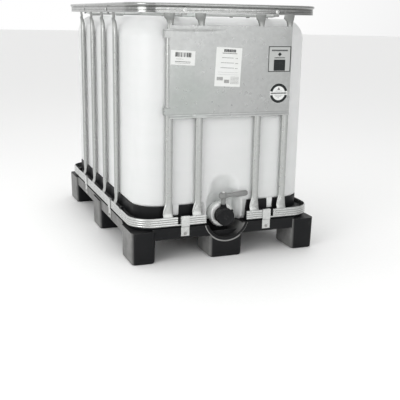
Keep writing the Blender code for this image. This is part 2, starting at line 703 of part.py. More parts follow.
# ---- valve ----------------------------------------------------------------------
def make_valve():
    centre = (0.0, VALVE_Z)
    seat = NECK_END - GAP
    make_object("valve_gasket", tube_ring(NECK_RADIUS, BORE_RADIUS, seat, seat - GASKET_THICK,
                                          "Y", centre), "rubber")
    flange = seat - GASKET_THICK - GAP
    barrel_end = -0.572
    spigot_end = -0.586
    body = make_object("valve_body",
                       turned([(flange, 0.040), (flange - 0.006, 0.040), (flange - 0.006, 0.033),
                               (barrel_end, 0.033), (barrel_end, 0.029), (spigot_end, 0.029)],
                              "Y", centre, 40), "black_plastic", (0, STEM_Y, VALVE_Z))
    add(body, turned([(VALVE_Z + 0.02, 0.012), (0.2095, 0.012)], "Z", (0, STEM_Y), 24),
        "stem_boss")
    cut(body, turned([(flange + 0.01, 0.024), (spigot_end - 0.01, 0.024)], "Y", centre, 40),
        "body_bore")
    cut(body, turned([(VALVE_Z, STEM_RADIUS + GAP), (0.25, STEM_RADIUS + GAP)],
                     "Z", (0, STEM_Y), 16), "stem_bore")

    # union nut: a ring with an inward lip in front of the body's flange
    nut_back, nut_front = -0.508, flange - 0.006 - GAP - 0.004
    outline = ((nut_back, 0.0525), (nut_front + 0.003, 0.0530), (nut_front, 0.050),
               (nut_front, 0.034), (nut_front + 0.004, 0.034), (nut_front + 0.004, 0.0406),
               (nut_back, 0.0406))
    sides = 48
    sections = []
    for along, radius in outline:
        loop = []
        for i in range(sides):
            angle = 2 * math.pi * i / sides
            loop.append((radius * math.cos(angle), along, VALVE_Z + radius * math.sin(angle)))
        sections.append(loop)
    make_object("union_nut", loft(sections, closed=True), "nut_metal")

    disc = make_object("valve_disc",
                       turned([(STEM_Y - 0.0065, 0.008), (STEM_Y - 0.002, DISC_RADIUS),
                               (STEM_Y + 0.002, DISC_RADIUS), (STEM_Y + 0.0065, 0.008)],
                              "Y", centre, 32), "grey_plastic", (0, STEM_Y, VALVE_Z))
    cut(disc, turned([(0.10, STEM_RADIUS + GAP), (0.22, STEM_RADIUS + GAP)],
                     "Z", (0, STEM_Y), 16), "disc_bore")
    make_object("valve_stem", turned([(VALVE_Z - 0.0228, STEM_RADIUS), (0.2455, STEM_RADIUS)],
                                     "Z", (0, STEM_Y), 16),
                "nut_metal", (0, STEM_Y, VALVE_Z))
    make_lever()

    seal = spigot_end - GAP
    make_object("cap_gasket", tube_ring(0.0285, 0.022, seal, seal - 0.002, "Y", centre),
                "rubber")
    cap = make_object("outlet_cap",
                      turned([(barrel_end - 0.0008, CAP_RADIUS), (CAP_END + 0.003, CAP_RADIUS),
                              (CAP_END, CAP_RADIUS - 0.003)], "Y", centre, 48, 8, 0.002),
                      "black_plastic", (0, CAP_END, VALVE_Z))
    cut(cap, turned([(barrel_end + 0.01, 0.0293), (seal - 0.002 - GAP, 0.0293)],
                    "Y", centre, 40), "cap_hollow")


def make_lever():
    """Lever: hub and skirt over the stem, then a grip cranked clear of the bottle."""
    lever = make_object("lever_handle",
                        turned([(0.210, 0.0105), (0.232, 0.0085), (0.238, 0.0135),
                                (0.256, 0.0135), (0.258, 0.012)], "Z", (0, STEM_Y), 20),
                        "grey_plastic", (0, STEM_Y, LEVER_Z))
    line = ((-0.020, 0.0, 0.243, 0.018), (-0.014, 0.0, 0.2435, 0.022),
            (0.012, 0.0, 0.2455, 0.022), (0.030, -0.004, 0.248, 0.016),
            (0.052, -0.0125, 0.250, 0.021), (0.088, -0.0145, 0.2535, 0.022),
            (LEVER_REACH, -0.0145, 0.2545, 0.014))
    stations = []
    for i, (x, y, z, tall) in enumerate(line):
        wide = 0.020 if x < 0.02 else 0.017
        if i in (0, len(line) - 1):
            wide -= 0.006
        stations.append((Vector((x, STEM_Y + y, z)), (1, 0, 0), tall, wide))
    add(lever, sweep(stations, (0, 0, 1), 12, 3.2), "lever_grip")
    cut(lever, turned([(0.20, STEM_RADIUS + GAP), (0.2458, STEM_RADIUS + GAP)],
                      "Z", (0, STEM_Y), 16), "lever_bore")


# ---- fill opening ---------------------------------------------------------------
def make_fill_lid():
    seat = FILL_TOP + GAP
    make_object("lid_gasket", tube_ring(FILL_RADIUS - 0.0005, FILL_BORE, seat, seat + 0.0025,
                                        "Z", (0, 0), 40), "rubber")
    under = seat + 0.0025 + GAP
    lid = make_object("fill_lid",
                      turned([(BOTTLE_TOP + 0.0025, LID_RADIUS - 0.004),
                              (LID_TOP - 0.004, LID_RADIUS - 0.004),
                              (LID_TOP, LID_RADIUS - 0.010)],
                             "Z", (0, 0), 48, 8, 0.004), "bottle_plastic", (0, 0, FILL_TOP))
    cut(lid, turned([(BOTTLE_TOP - 0.01, FILL_RADIUS + 0.0008), (under, FILL_RADIUS + 0.0008)],
                    "Z", (0, 0), 40), "lid_hollow")
    cut(lid, turned([(under - 0.01, 0.0128), (LID_TOP + 0.01, 0.0128)], "Z", (0, 0), 24),
        "vent_hole")
    make_object("vent_plug",
                turned([(under - 0.004, 0.0125), (LID_TOP + GAP, 0.0125),
                        (LID_TOP + GAP, 0.019), (LID_TOP + 0.005, 0.019),
                        (LID_TOP + 0.007, 0.016)], "Z", (0, 0), 24), "grey_plastic",
                (0, 0, LID_TOP))


def main():
    for old in list(bpy.data.objects):
        bpy.data.objects.remove(old)
    make_pallet()
    make_tray()
    make_bottle()
    make_bottom_rail()
    make_top_rail()
    make_bars()
    make_hold_downs()
    make_clamps()
    make_label_plate()
    make_valve()
    make_fill_lid()


main()
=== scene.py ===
"""Intermediate bulk container: every visible piece and its finish, built round the frame."""

import math

import bmesh
import bpy
from mathutils import Matrix, Vector


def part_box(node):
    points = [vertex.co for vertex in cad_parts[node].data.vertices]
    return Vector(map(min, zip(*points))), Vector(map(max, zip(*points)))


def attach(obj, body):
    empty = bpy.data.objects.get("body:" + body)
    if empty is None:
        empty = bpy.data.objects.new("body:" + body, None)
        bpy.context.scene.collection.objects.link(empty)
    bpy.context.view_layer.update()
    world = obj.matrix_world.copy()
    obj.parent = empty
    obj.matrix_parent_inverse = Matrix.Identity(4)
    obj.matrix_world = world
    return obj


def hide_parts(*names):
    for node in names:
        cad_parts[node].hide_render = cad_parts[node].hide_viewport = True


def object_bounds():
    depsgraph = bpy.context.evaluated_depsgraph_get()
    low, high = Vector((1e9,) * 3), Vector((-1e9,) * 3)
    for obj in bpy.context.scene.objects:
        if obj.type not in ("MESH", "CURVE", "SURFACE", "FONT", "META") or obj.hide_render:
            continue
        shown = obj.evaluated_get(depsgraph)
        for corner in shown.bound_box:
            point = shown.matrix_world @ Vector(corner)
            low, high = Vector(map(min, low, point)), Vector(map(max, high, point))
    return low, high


bl_info = {
    "name": "Bulk Container Builder",
    "version": (1, 0, 0),
    "blender": (4, 5, 0),
    "location": "3D View > Sidebar > Container",
    "description": "Builds the bottle, cage, pallet, valve and labels of a bulk container",
    "category": "Add Mesh",
}

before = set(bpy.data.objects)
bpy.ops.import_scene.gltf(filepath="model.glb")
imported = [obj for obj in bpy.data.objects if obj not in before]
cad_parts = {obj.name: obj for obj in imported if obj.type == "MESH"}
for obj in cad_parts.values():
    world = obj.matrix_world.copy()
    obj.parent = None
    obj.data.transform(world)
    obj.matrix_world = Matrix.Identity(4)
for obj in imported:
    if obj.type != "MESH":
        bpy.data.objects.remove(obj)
CAD_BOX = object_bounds()

SIDES = ("front", "rear", "left", "right")
CONTAINER = "container"
UP = Vector((0, 0, 1))
# how far the front tubes stand to one side of their flattened ends
TUBE_SHIFT = 0.0062
BOTTLE_LOW, BOTTLE_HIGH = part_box("bottle")
PLATE_LOW, PLATE_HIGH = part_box("label_plate")
GASKET_LOW, GASKET_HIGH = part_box("lid_gasket")


# ---- sizes and colours a user would change ----
def length_setting(name, description, default, least):
    return bpy.props.FloatProperty(name=name, description=description, default=default,
                                   min=least, unit="LENGTH")


def colour_setting(name, description, red, green, blue):
    return bpy.props.FloatVectorProperty(name=name, description=description, subtype="COLOR",
                                         size=4, default=(red, green, blue, 1.0))


def angle_setting(name, description, degrees):
    return bpy.props.FloatProperty(name=name, description=description, unit="ROTATION",
                                   default=math.radians(degrees))


def power_setting(name, description, default):
    return bpy.props.FloatProperty(name=name, description=description, default=default,
                                   min=0.0, unit="POWER")


class ContainerSizes(bpy.types.PropertyGroup):
    bar_width: length_setting("Bar width", "Width of an upright bar along its side", 0.029, 0.01)
    bar_depth: length_setting("Bar depth", "Depth of an upright bar, in and out", 0.020, 0.006)
    shoulder: length_setting("Shoulder", "Rounding at the top of the bottle", 0.080, 0.02)
    corner: length_setting("Corner", "Radius of the bottle's upright corners", 0.100, 0.03)
    wall: length_setting("Wall", "Thickness of the bottle's wall", 0.004, 0.001)
    sheet: length_setting("Sheet", "Thickness of the label plate", 0.0012, 0.0005)
    edge: length_setting("Moulded edge", "Rounding of moulded edges", 0.0022, 0.0)


class ContainerColours(bpy.types.PropertyGroup):
    bottle: colour_setting("Bottle", "Natural polyethylene of the bottle", 0.88, 0.90, 0.885)
    black: colour_setting("Black plastic", "Pallet, tray, valve body and cap",
                          0.0055, 0.006, 0.007)
    rail: colour_setting("Rail steel", "Rails, clamps, rivets and hold-downs", 0.60, 0.61, 0.60)
    bar: colour_setting("Bar steel", "Upright bars", 0.45, 0.46, 0.45)
    plate: colour_setting("Plate steel", "Label plate", 0.40, 0.408, 0.403)
    lever: colour_setting("Lever", "Lever handle and vent plug", 0.19, 0.194, 0.19)
    nut: colour_setting("Nut", "Union nut and valve stem", 0.88, 0.89, 0.88)
    paper: colour_setting("Paper", "Stuck-on labels", 0.72, 0.73, 0.72)
    ink: colour_setting("Ink", "Print on the labels", 0.010, 0.013, 0.013)
    floor: colour_setting("Floor", "Pale studio floor", 0.97, 0.97, 0.965)


class ContainerView(bpy.types.PropertyGroup):
    place: bpy.props.FloatVectorProperty(
        name="Camera place", description="Where the camera stands",
        subtype="XYZ", unit="LENGTH", size=3, default=(-1.1178, -3.1542, 0.9524))
    turn: angle_setting("Turn", "Heading of the camera from straight ahead", -21.34)
    dip: angle_setting("Dip", "How far the camera looks down", 14.43)
    roll: angle_setting("Roll", "Lean of the camera to one side", 1.03)
    lens: bpy.props.FloatProperty(
        name="Lens", description="Focal length on a 36 mm sensor", default=64.45, min=10.0)
    key: power_setting("Key light", "Power of the large soft light on the left", 43.0)
    fill: power_setting("Fill light", "Power of the weak light on the right", 33.0)
    sky: bpy.props.FloatProperty(
        name="Room light", description="Strength of the soft light all round",
        default=1.0, min=0.0)


def sizes():
    return bpy.context.scene.container_sizes


def colours():
    return bpy.context.scene.container_colours


# ---- arithmetic ----
def ease(t):
    """Smooth step from 0 to 1."""
    t = max(0.0, min(1.0, t))
    return t * t * (3.0 - 2.0 * t)


def between(a, b, t):
    return a + (b - a) * t


def eased_keys(keys, at):
    """Read a row of values from keys of (place, value, ...), easing between neighbours."""
    if at <= keys[0][0]:
        return keys[0][1:]
    for low, high in zip(keys, keys[1:]):
        if at <= high[0]:
            t = ease((at - low[0]) / (high[0] - low[0]))
            return tuple(between(a, b, t) for a, b in zip(low[1:], high[1:]))
    return keys[-1][1:]


def arc(centre, radius, start, end, steps):
    """Points on an arc, angles in degrees."""
    points = []
    for i in range(steps + 1):
        angle = math.radians(between(start, end, i / steps))
        points.append((centre[0] + radius * math.cos(angle), centre[1] + radius * math.sin(angle)))
    return points


def side_frame(side):
    """Width direction, outward direction and distance of a side of the footprint."""
    high = CAD_BOX[1]
    across = {"front": (1, 0, 0), "rear": (-1, 0, 0), "left": (0, -1, 0), "right": (0, 1, 0)}
    out = {"front": (0, -1, 0), "rear": (0, 1, 0), "left": (-1, 0, 0), "right": (1, 0, 0)}
    reach = high[1] if side in ("front", "rear") else high[0]
    return Vector(across[side]), Vector(out[side]), reach


def middle(node):
    low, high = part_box(node)
    return (low + high) / 2


# ---- mesh building ----
def loft(sections, closed=False, caps=True):
    """Skin equal-length point loops, with end caps unless it closes on itself."""
    bm = bmesh.new()
    rings = [[bm.verts.new(point) for point in section] for section in sections]
    count = len(rings[0])
    spans = len(rings) if closed else len(rings) - 1
    for i in range(spans):
        low, high = rings[i], rings[(i + 1) % len(rings)]
        for j in range(count):
            k = (j + 1) % count
            bm.faces.new((low[j], low[k], high[k], high[j]))
    if caps and not closed:
        bm.faces.new(rings[0][::-1])
        bm.faces.new(rings[-1])
    bmesh.ops.recalc_face_normals(bm, faces=bm.faces)
    return bm


def block(x, y, z):
    """A box from pairs of limits, as a tool for joining and cutting."""
    return loft([[(x[0], y[0], h), (x[1], y[0], h), (x[1], y[1], h), (x[0], y[1], h)] for h in z])


def turned(profile, axis, centre, sides=64, grips=0, grip_height=0.0, ring=False):
    """Turn a profile of (along, radius) about Z or Y; grips raise ribs on the widest part."""
    widest = max(radius for _, radius in profile)
    sections = []
    for along, radius in profile:
        loop = []
        for i in range(sides):
            angle = 2 * math.pi * i / sides
            r = radius
            if grips and radius > 0.985 * widest:
                r -= grip_height * (0.5 - 0.5 * math.cos(grips * angle)) ** 2
            a, b = centre[0] + r * math.cos(angle), centre[1] + r * math.sin(angle)
            loop.append((a, b, along) if axis == "Z" else (a, along, b))
        sections.append(loop)
    return loft(sections, closed=ring)


def studded(place, across, out, levels, sides, six=()):
    """Loft rings of (height, radius) along a direction; the numbered ones are six-sided."""
    sections = []
    for number, (height, radius) in enumerate(levels):
        loop = []
        for i in range(sides):
            angle = 2 * math.pi * i / sides
            r = radius
            if number in six:
                r = radius * math.cos(math.pi / 6) / math.cos((angle % (math.pi / 3)) - math.pi / 6)
            radial = across * math.cos(angle) + UP * math.sin(angle)
            loop.append(place + out * height + radial * r)
        sections.append(loop)
    return loft(sections)


def sweep(stations, width_axis, sides=24, power=2.4):
    """Loft flattened round sections along (position, tangent, width, thickness) stations."""
    sections = []
    across = Vector(width_axis)
    for position, tangent, width, thickness in stations:
        normal = Vector(tangent).normalized().cross(across)
        loop = []
        for i in range(sides):
            angle = 2 * math.pi * (i + 0.5) / sides
            c, s = math.cos(angle), math.sin(angle)
            a = math.copysign(abs(c) ** (2 / power), c) * width / 2
            b = math.copysign(abs(s) ** (2 / power), s) * thickness / 2
            loop.append(Vector(position) + across * a + normal * b)
        sections.append(loop)
    return loft(sections)


def rounded(half_x, half_y, radius, steps=12, centre=(0.0, 0.0)):
    """Outline of a rounded rectangle, counter-clockwise from the front right corner."""
    points = []
    for corner, (sx, sy) in enumerate(((1, -1), (1, 1), (-1, 1), (-1, -1))):
        start = -90 + 90 * corner
        points += arc((centre[0] + sx * (half_x - radius), centre[1] + sy * (half_y - radius)),
                      radius, start, start + 90, steps)
    return points


def rounded_solid(levels, steps=12, centre=(0.0, 0.0)):
    """Loft rounded rectangles through levels of (z, half_x, half_y, radius)."""
    return loft([[(x, y, z) for x, y in rounded(hx, hy, r, steps, centre)]
                 for z, hx, hy, r in levels])


def rail_path(half, radius, steps, gap=0.0):
    """Points and outward normals round a rounded rectangle, open at the front by gap."""
    path = []
    if gap:
        path.append((Vector((gap, -half[1], 0)), Vector((0, -1, 0))))
    for corner, (sx, sy) in enumerate(((1, -1), (1, 1), (-1, 1), (-1, -1))):
        centre = Vector((sx * (half[0] - radius), sy * (half[1] - radius), 0))
        for i in range(steps + 1):
            angle = math.radians(-90 + 90 * corner + 90 * i / steps)
            normal = Vector((math.cos(angle), math.sin(angle), 0))
            path.append((centre + normal * radius, normal))
    if gap:
        path.append((Vector((-gap, -half[1], 0)), Vector((0, -1, 0))))
    return path


def add_object(name, data):
    made = bpy.data.objects.new(name, data)
    bpy.context.scene.collection.objects.link(made)
    return made


def temporary(bm):
    mesh = bpy.data.meshes.new("tool")
    bm.to_mesh(mesh)
    bm.free()
    return add_object("tool", mesh)


def carve(base, adds=(), cuts=()):
    """Join and cut closed shapes exactly, and hand back the result as a bmesh."""
    target = temporary(base)
    tools = [(temporary(bm), "UNION") for bm in adds]
    tools += [(temporary(bm), "DIFFERENCE") for bm in cuts]
    for tool, operation in tools:
        step = target.modifiers.new("step", "BOOLEAN")
        step.operation = operation
        step.object = tool
        step.solver = "EXACT"
    seen = target.evaluated_get(bpy.context.evaluated_depsgraph_get())
    result = bmesh.new()
    result.from_mesh(seen.to_mesh())
    seen.to_mesh_clear()
    for made in [target] + [tool for tool, _ in tools]:
        mesh = made.data
        bpy.data.objects.remove(made)
        bpy.data.meshes.remove(mesh)
    return result


def piece(name, bm, finish, body=CONTAINER, stands_for=(), bevel=0.0, crease=38):
    """Finish a mesh as a visible piece that rides a body and may stand for frame nodes."""
    mesh = bpy.data.meshes.new(name)
    bm.to_mesh(mesh)
    bm.free()
    mesh.materials.append(material(finish))
    mesh.shade_smooth()
    mesh.set_sharp_from_angle(angle=math.radians(crease))
    made = add_object(name, mesh)
    if bevel:
        step = made.modifiers.new("edges", "BEVEL")
        step.width = bevel
        step.segments = 2
        step.limit_method = "ANGLE"
        step.angle_limit = math.radians(crease)
        step.harden_normals = True
    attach(made, body)
    if stands_for:
        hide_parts(*stands_for)
    return made


# ---- node helpers ----
class Graph:
    """Short ways to add nodes to one tree."""

    def __init__(self, tree):
        self.tree = tree

    def feed(self, socket, value):
        if isinstance(value, bpy.types.NodeSocket):
            self.tree.links.new(value, socket)
        else:
            socket.default_value = value

    def add(self, kind, settings=None, **inputs):
        node = self.tree.nodes.new(kind)
        for key, value in (settings or {}).items():
            setattr(node, key, value)
        for key, value in inputs.items():
            self.feed(node.inputs[key.replace("_", " ")], value)
        return node

    def calc(self, operation, a, b=0.0, clamp=False):
        node = self.tree.nodes.new("ShaderNodeMath")
        node.operation = operation
        node.use_clamp = clamp
        self.feed(node.inputs[0], a)
        self.feed(node.inputs[1], b)
        return node.outputs[0]

    def mix(self, factor, a, b):
        node = self.tree.nodes.new("ShaderNodeMix")
        node.data_type = "RGBA"
        for index, value in ((0, factor), (6, a), (7, b)):
            self.feed(node.inputs[index], value)
        return node.outputs[2]

    def remap(self, value, low, high, to_low=0.0, to_high=1.0):
        node = self.add("ShaderNodeMapRange", None, Value=value, From_Min=low, From_Max=high,
                        To_Min=to_low, To_Max=to_high)
        return node.outputs["Result"]

    def place(self):
        return self.add("ShaderNodeTexCoord").outputs["Object"]

    def stretch(self, vector, scale):
        node = self.add("ShaderNodeMapping", None, Vector=vector, Scale=scale)
        return node.outputs["Vector"]

    def noise(self, vector, scale, detail=4.0, roughness=0.55):
        node = self.add("ShaderNodeTexNoise", None, Vector=vector, Scale=scale, Detail=detail,
                        Roughness=roughness)
        return node.outputs["Fac"]

    def bump(self, height, strength, distance, normal=None):
        node = self.add("ShaderNodeBump", None, Height=height, Strength=strength,
                        Distance=distance)
        if normal is not None:
            self.feed(node.inputs["Normal"], normal)
        return node.outputs["Normal"]

    def axes(self, vector=None):
        source = self.place() if vector is None else vector
        return self.add("ShaderNodeSeparateXYZ", None, Vector=source).outputs

    def vector(self, operation, first, second=None, third=None):
        node = self.add("ShaderNodeVectorMath", {"operation": operation})
        for socket, value in zip(node.inputs, (first, second, third)):
            if value is not None:
                self.feed(socket, value)
        return node.outputs

    def away(self, value, line):
        """How far a value is from a line, whichever side."""
        return self.calc("ABSOLUTE", self.calc("SUBTRACT", value, line))

    def group(self, name, **inputs):
        return self.add("ShaderNodeGroup", {"node_tree": effect(name)}, **inputs).outputs

    def over(self, colour, layer, name, **inputs):
        """Lay a second colour over the first through the mask of an effect."""
        return self.mix(self.group(name, **inputs)["Mask"], colour, layer)

    def coat(self, shader, colour, roughness, normal=None):
        """Link what a finish ends in to its shader."""
        self.feed(shader.inputs["Base Color"], colour)
        self.feed(shader.inputs["Roughness"], roughness)
        if normal is not None:
            self.feed(shader.inputs["Normal"], normal)


def shade(base, factor):
    """A colour made lighter or darker, never past white."""
    return tuple(min(1.0, c * factor) for c in base[:3]) + (1.0,)


# ---- effects shared by several finishes ----
def moulded_grain(graph, given, put):
    """Fine leathery texture left by the mould."""
    fine = graph.noise(graph.place(), given["Scale"], 5.0, 0.6)
    put["Normal"] = graph.bump(fine, given["Depth"], 0.0006)
    put["Mask"] = fine


def edge_wear(graph, given, put):
    """Mask of rubbed edges, broken up by noise."""
    soft = graph.add("ShaderNodeBevel", {"samples": 4}, Radius=given["Radius"]).outputs["Normal"]
    sharp = graph.add("ShaderNodeNewGeometry").outputs["Normal"]
    bent = graph.remap(graph.vector("DOT_PRODUCT", soft, sharp)["Value"], 0.995, 0.90)
    chips = graph.remap(graph.noise(graph.place(), 90.0, 6.0, 0.7), 0.42, 0.66)
    put["Mask"] = graph.calc("MULTIPLY", graph.calc("MULTIPLY", bent, chips), given["Amount"], True)


def zinc_spangle(graph, given, put):
    """Crystals of a zinc coating: shade, roughness and a slight tilt from cell to cell."""
    place = graph.place()
    warp = graph.add("ShaderNodeTexNoise", None, Vector=place, Scale=60.0, Detail=2.0)
    reach = (0.006, 0.006, 0.006)
    bent = graph.vector("MULTIPLY_ADD", warp.outputs["Color"], reach, place)["Vector"]
    cells = graph.add("ShaderNodeTexVoronoi", None, Vector=bent, Scale=given["Scale"])
    value = graph.add("ShaderNodeSeparateColor", None, Color=cells.outputs["Color"])
    frost = graph.noise(place, 420.0, 3.0)
    mixed = graph.calc("ADD", graph.calc("MULTIPLY", value.outputs["Red"], 0.75),
                       graph.calc("MULTIPLY", frost, 0.25))
    put["Mask"] = graph.calc("MULTIPLY", mixed, given["Contrast"])
    put["Roughness"] = graph.remap(value.outputs["Green"], 0.0, 1.0, 0.27, 0.36)
    put["Normal"] = graph.bump(mixed, 0.05, 0.0003)


def clouding(graph, given, put):
    """Slow change of tone over a large surface."""
    broad = graph.noise(graph.place(), given["Scale"], 3.0, 0.5)
    put["Mask"] = graph.remap(broad, 0.35, 0.68)


def settled_dust(graph, given, put):
    """Dust on faces that look up, thinner where it has been wiped."""
    normal = graph.add("ShaderNodeNewGeometry").outputs["Normal"]
    up = graph.axes(normal)["Z"]
    patch = graph.remap(graph.noise(graph.place(), 28.0, 5.0, 0.65), 0.35, 0.75)
    put["Mask"] = graph.calc("MULTIPLY", graph.calc("MULTIPLY", graph.remap(up, 0.3, 1.0), patch),
                             given["Amount"], True)


def scratches(graph, given, put):
    """Thin rubbed lines, mostly level or mostly upright as the stretch says."""
    lines = graph.noise(graph.stretch(graph.place(), given["Stretch"]), 1.0, 6.0, 0.75)
    put["Mask"] = graph.calc("MULTIPLY", graph.remap(lines, 0.60, 0.74), given["Amount"], True)


EFFECTS = {
    "moulded grain": (moulded_grain, {"Scale": 350.0, "Depth": 0.2}, ("Normal", "Mask")),
    "edge wear": (edge_wear, {"Radius": 0.004, "Amount": 0.5}, ("Mask",)),
    "zinc spangle": (zinc_spangle, {"Scale": 130.0, "Contrast": 1.0},
                     ("Mask", "Roughness", "Normal")),
    "clouding": (clouding, {"Scale": 3.0}, ("Mask",)),
    "settled dust": (settled_dust, {"Amount": 0.4}, ("Mask",)),
    "scratches": (scratches, {"Stretch": (1.0, 1.0, 1.0), "Amount": 0.5}, ("Mask",)),
}


def effect(name):
    """The node group of one effect, built the first time it is asked for."""
    found = bpy.data.node_groups.get(name)
    if found is not None:
        return found
    build, inputs, outputs = EFFECTS[name]
    tree = bpy.data.node_groups.new(name, "ShaderNodeTree")
    for title, default in inputs.items():
        kind = "NodeSocketVector" if isinstance(default, tuple) else "NodeSocketFloat"
        socket = tree.interface.new_socket(name=title, in_out="INPUT", socket_type=kind)
        socket.default_value = default
    for title in outputs:
        kind = "NodeSocketVector" if title == "Normal" else "NodeSocketFloat"
        tree.interface.new_socket(name=title, in_out="OUTPUT", socket_type=kind)
    graph = Graph(tree)
    given = tree.nodes.new("NodeGroupInput").outputs
    put = {}
    build(graph, given, put)
    end = tree.nodes.new("NodeGroupOutput")
    for title in outputs:
        graph.feed(end.inputs[title], put[title])
    return tree


# ---- finishes ----
def black_plastic(graph, shader):
    grain = graph.group("moulded grain", Scale=420.0, Depth=0.28)
    rub = (0.10, 0.10, 0.098, 1.0)
    colour = graph.over(tuple(colours().black), (0.0085, 0.0088, 0.0095, 1.0), "clouding",
                        Scale=5.0)
    colour = graph.over(colour, rub, "edge wear", Radius=0.004, Amount=0.42)
    colour = graph.over(colour, rub, "scratches", Stretch=(30.0, 30.0, 6.0), Amount=0.28)
    colour = graph.over(colour, (0.13, 0.13, 0.125, 1.0), "settled dust", Amount=0.24)
    graph.coat(shader, colour, graph.remap(grain["Mask"], 0.3, 0.7, 0.40, 0.58), grain["Normal"])
    shader.inputs["Specular IOR Level"].default_value = 0.18
    return colour


def pallet_plastic(graph, shader):
    """Black moulding, with painted light on the long left side: faces that look left are painted
    pale grey.
    """
    colour = black_plastic(graph, shader)
    # painted light: faces that look to the left are painted pale grey, broken up by noise
    facing = graph.axes(graph.add("ShaderNodeNewGeometry").outputs["Normal"])["X"]
    patch = graph.remap(graph.noise(graph.place(), 16.0, 5.0, 0.6), 0.25, 0.60, 0.55, 1.0)
    painted_side_light = graph.calc("MULTIPLY", graph.remap(facing, -0.45, -0.95, 0.0, 0.85), patch)
    colour = graph.mix(painted_side_light, colour, (0.24, 0.24, 0.235, 1.0))
    # painted highlight: the scoop's front edge is painted pale
    axes = graph.axes()
    rise = graph.calc("SUBTRACT", axes["Z"], SCOOP_Z)
    squares = graph.calc("ADD", graph.calc("POWER", axes["X"], 2.0),
                         graph.calc("POWER", rise, 2.0))
    away = graph.away(graph.calc("SQRT", squares), SCOOP_OUTER)
    front = graph.remap(axes["Y"], CAD_BOX[0][1] + 0.006, CAD_BOX[0][1] + 0.003)
    rim = graph.calc("MULTIPLY", graph.remap(away, 0.0034, 0.0016, 0.0, 0.75), front)
    graph.feed(shader.inputs["Base Color"], graph.mix(rim, colour, (0.36, 0.36, 0.35, 1.0)))


def bottle_plastic(graph, shader):
    base = tuple(colours().bottle)
    cool = (base[0] * 0.93, base[1] * 0.955, base[2] * 0.94, 1.0)
    cloud = graph.group("clouding", Scale=2.4)["Mask"]
    thin = graph.remap(graph.noise(graph.stretch(graph.place(), (1.0, 1.0, 7.0)), 2.2, 3.0),
                       0.4, 0.65, 0.0, 0.5)
    uneven = graph.calc("MULTIPLY", graph.calc("ADD", cloud, thin), 0.55, True)
    colour = graph.over(graph.mix(uneven, base, cool), (0.90, 0.91, 0.90, 1.0), "scratches",
                        Stretch=(5.0, 5.0, 60.0), Amount=0.20)
    grain = graph.group("moulded grain", Scale=160.0, Depth=0.05)
    swell = graph.noise(graph.stretch(graph.place(), (1.0, 1.0, 3.0)), 6.0, 2.0)
    graph.coat(shader, colour, graph.remap(grain["Mask"], 0.3, 0.7, 0.34, 0.46),
               graph.bump(swell, 0.10, 0.012, grain["Normal"]))
    shader.inputs["Subsurface Weight"].default_value = 0.5
    shader.inputs["Subsurface Radius"].default_value = (0.034, 0.036, 0.034)
    shader.inputs["Subsurface Scale"].default_value = 1.0


def zinc(graph, shader, base, scale, contrast, stretch, metallic):
    """Galvanised steel: spangle, pulled streaks, rubbed edges and dull oxide."""
    spangle = graph.group("zinc spangle", Scale=scale, Contrast=contrast)
    oxide = shade(base, 0.90)
    colour = graph.mix(spangle["Mask"], oxide, shade(base, 1.08))
    cloud = graph.group("clouding", Scale=9.0)["Mask"]
    colour = graph.mix(graph.calc("MULTIPLY", cloud, 0.40), colour, oxide)
    colour = graph.over(colour, (0.36, 0.37, 0.36, 1.0), "scratches", Stretch=stretch,
                        Amount=0.25)
    colour = graph.over(colour, (0.88, 0.88, 0.87, 1.0), "edge wear", Radius=0.002, Amount=0.4)
    graph.coat(shader, colour, spangle["Roughness"], spangle["Normal"])
    shader.inputs["Metallic"].default_value = metallic
    return colour


def strap_steel(graph, shader):
    """Bright zinc of the straps, the rivets and the hold-down bars."""
    return zinc(graph, shader, tuple(colours().rail), 150.0, 1.0, (12.0, 12.0, 160.0), 0.90)


def painted_shade_lines(graph, shader, colour, lines):
    """Painted shade: darken a colour at stated heights, given as (height, half width, amount)."""
    height = graph.axes()["Z"]
    for place, half, amount in lines:
        shade_mask = graph.remap(graph.away(height, place), half, half * 0.35, 0.0, amount)
        colour = graph.mix(shade_mask, colour, (0.09, 0.09, 0.085, 1.0))
    graph.feed(shader.inputs["Base Color"], colour)


def strip_steel(graph, shader):
    """Bright zinc of the bottom rail, with painted shade in the hollows between its ribs."""
    low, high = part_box("bottom_rail")
    places = [between(low.z, high.z, share) for share in (0.264, 0.5, 0.736)]
    # painted shade in the hollows between the bottom rail's ribs
    painted_shade_lines(graph, shader, strap_steel(graph, shader), [(z, 0.0012, 0.60) for z in places])


def rail_steel(graph, shader):
    """Rolled top rail: glossier, with painted shade in the groove and between the fine ribs."""
    colour = zinc(graph, shader, shade(colours().rail, 0.60), 150.0, 1.0, (12.0, 12.0, 160.0),
                  0.95)
    spangle = graph.group("zinc spangle", Scale=150.0, Contrast=1.0)
    graph.feed(shader.inputs["Roughness"],
               graph.calc("MULTIPLY", spangle["Roughness"], 0.45))
    top = CAD_BOX[1][2]
    # painted shade in the top rail's groove and between its fine ribs
    painted_shade_lines(graph, shader, colour, ((top - 0.0148, 0.0026, 0.92), (top - 0.0259, 0.0014, 0.70),
                                       (top - 0.0312, 0.0012, 0.55)))


def bar_steel(graph, shader):
    """Tube zinc, with painted shade where the pressed ends tuck up under the top rail."""
    colour = zinc(graph, shader, tuple(colours().bar), 210.0, 0.7, (160.0, 160.0, 8.0), 0.85)
    top = CAD_BOX[1][2]
    # painted shade: the bars darken towards their tops, under the top rail
    painted_shade_under_rail = graph.remap(graph.axes()["Z"], top - 0.085, top - 0.060, 0.0, 0.80)
    graph.feed(shader.inputs["Base Color"], graph.mix(painted_shade_under_rail, colour, (0.19, 0.195, 0.19, 1.0)))


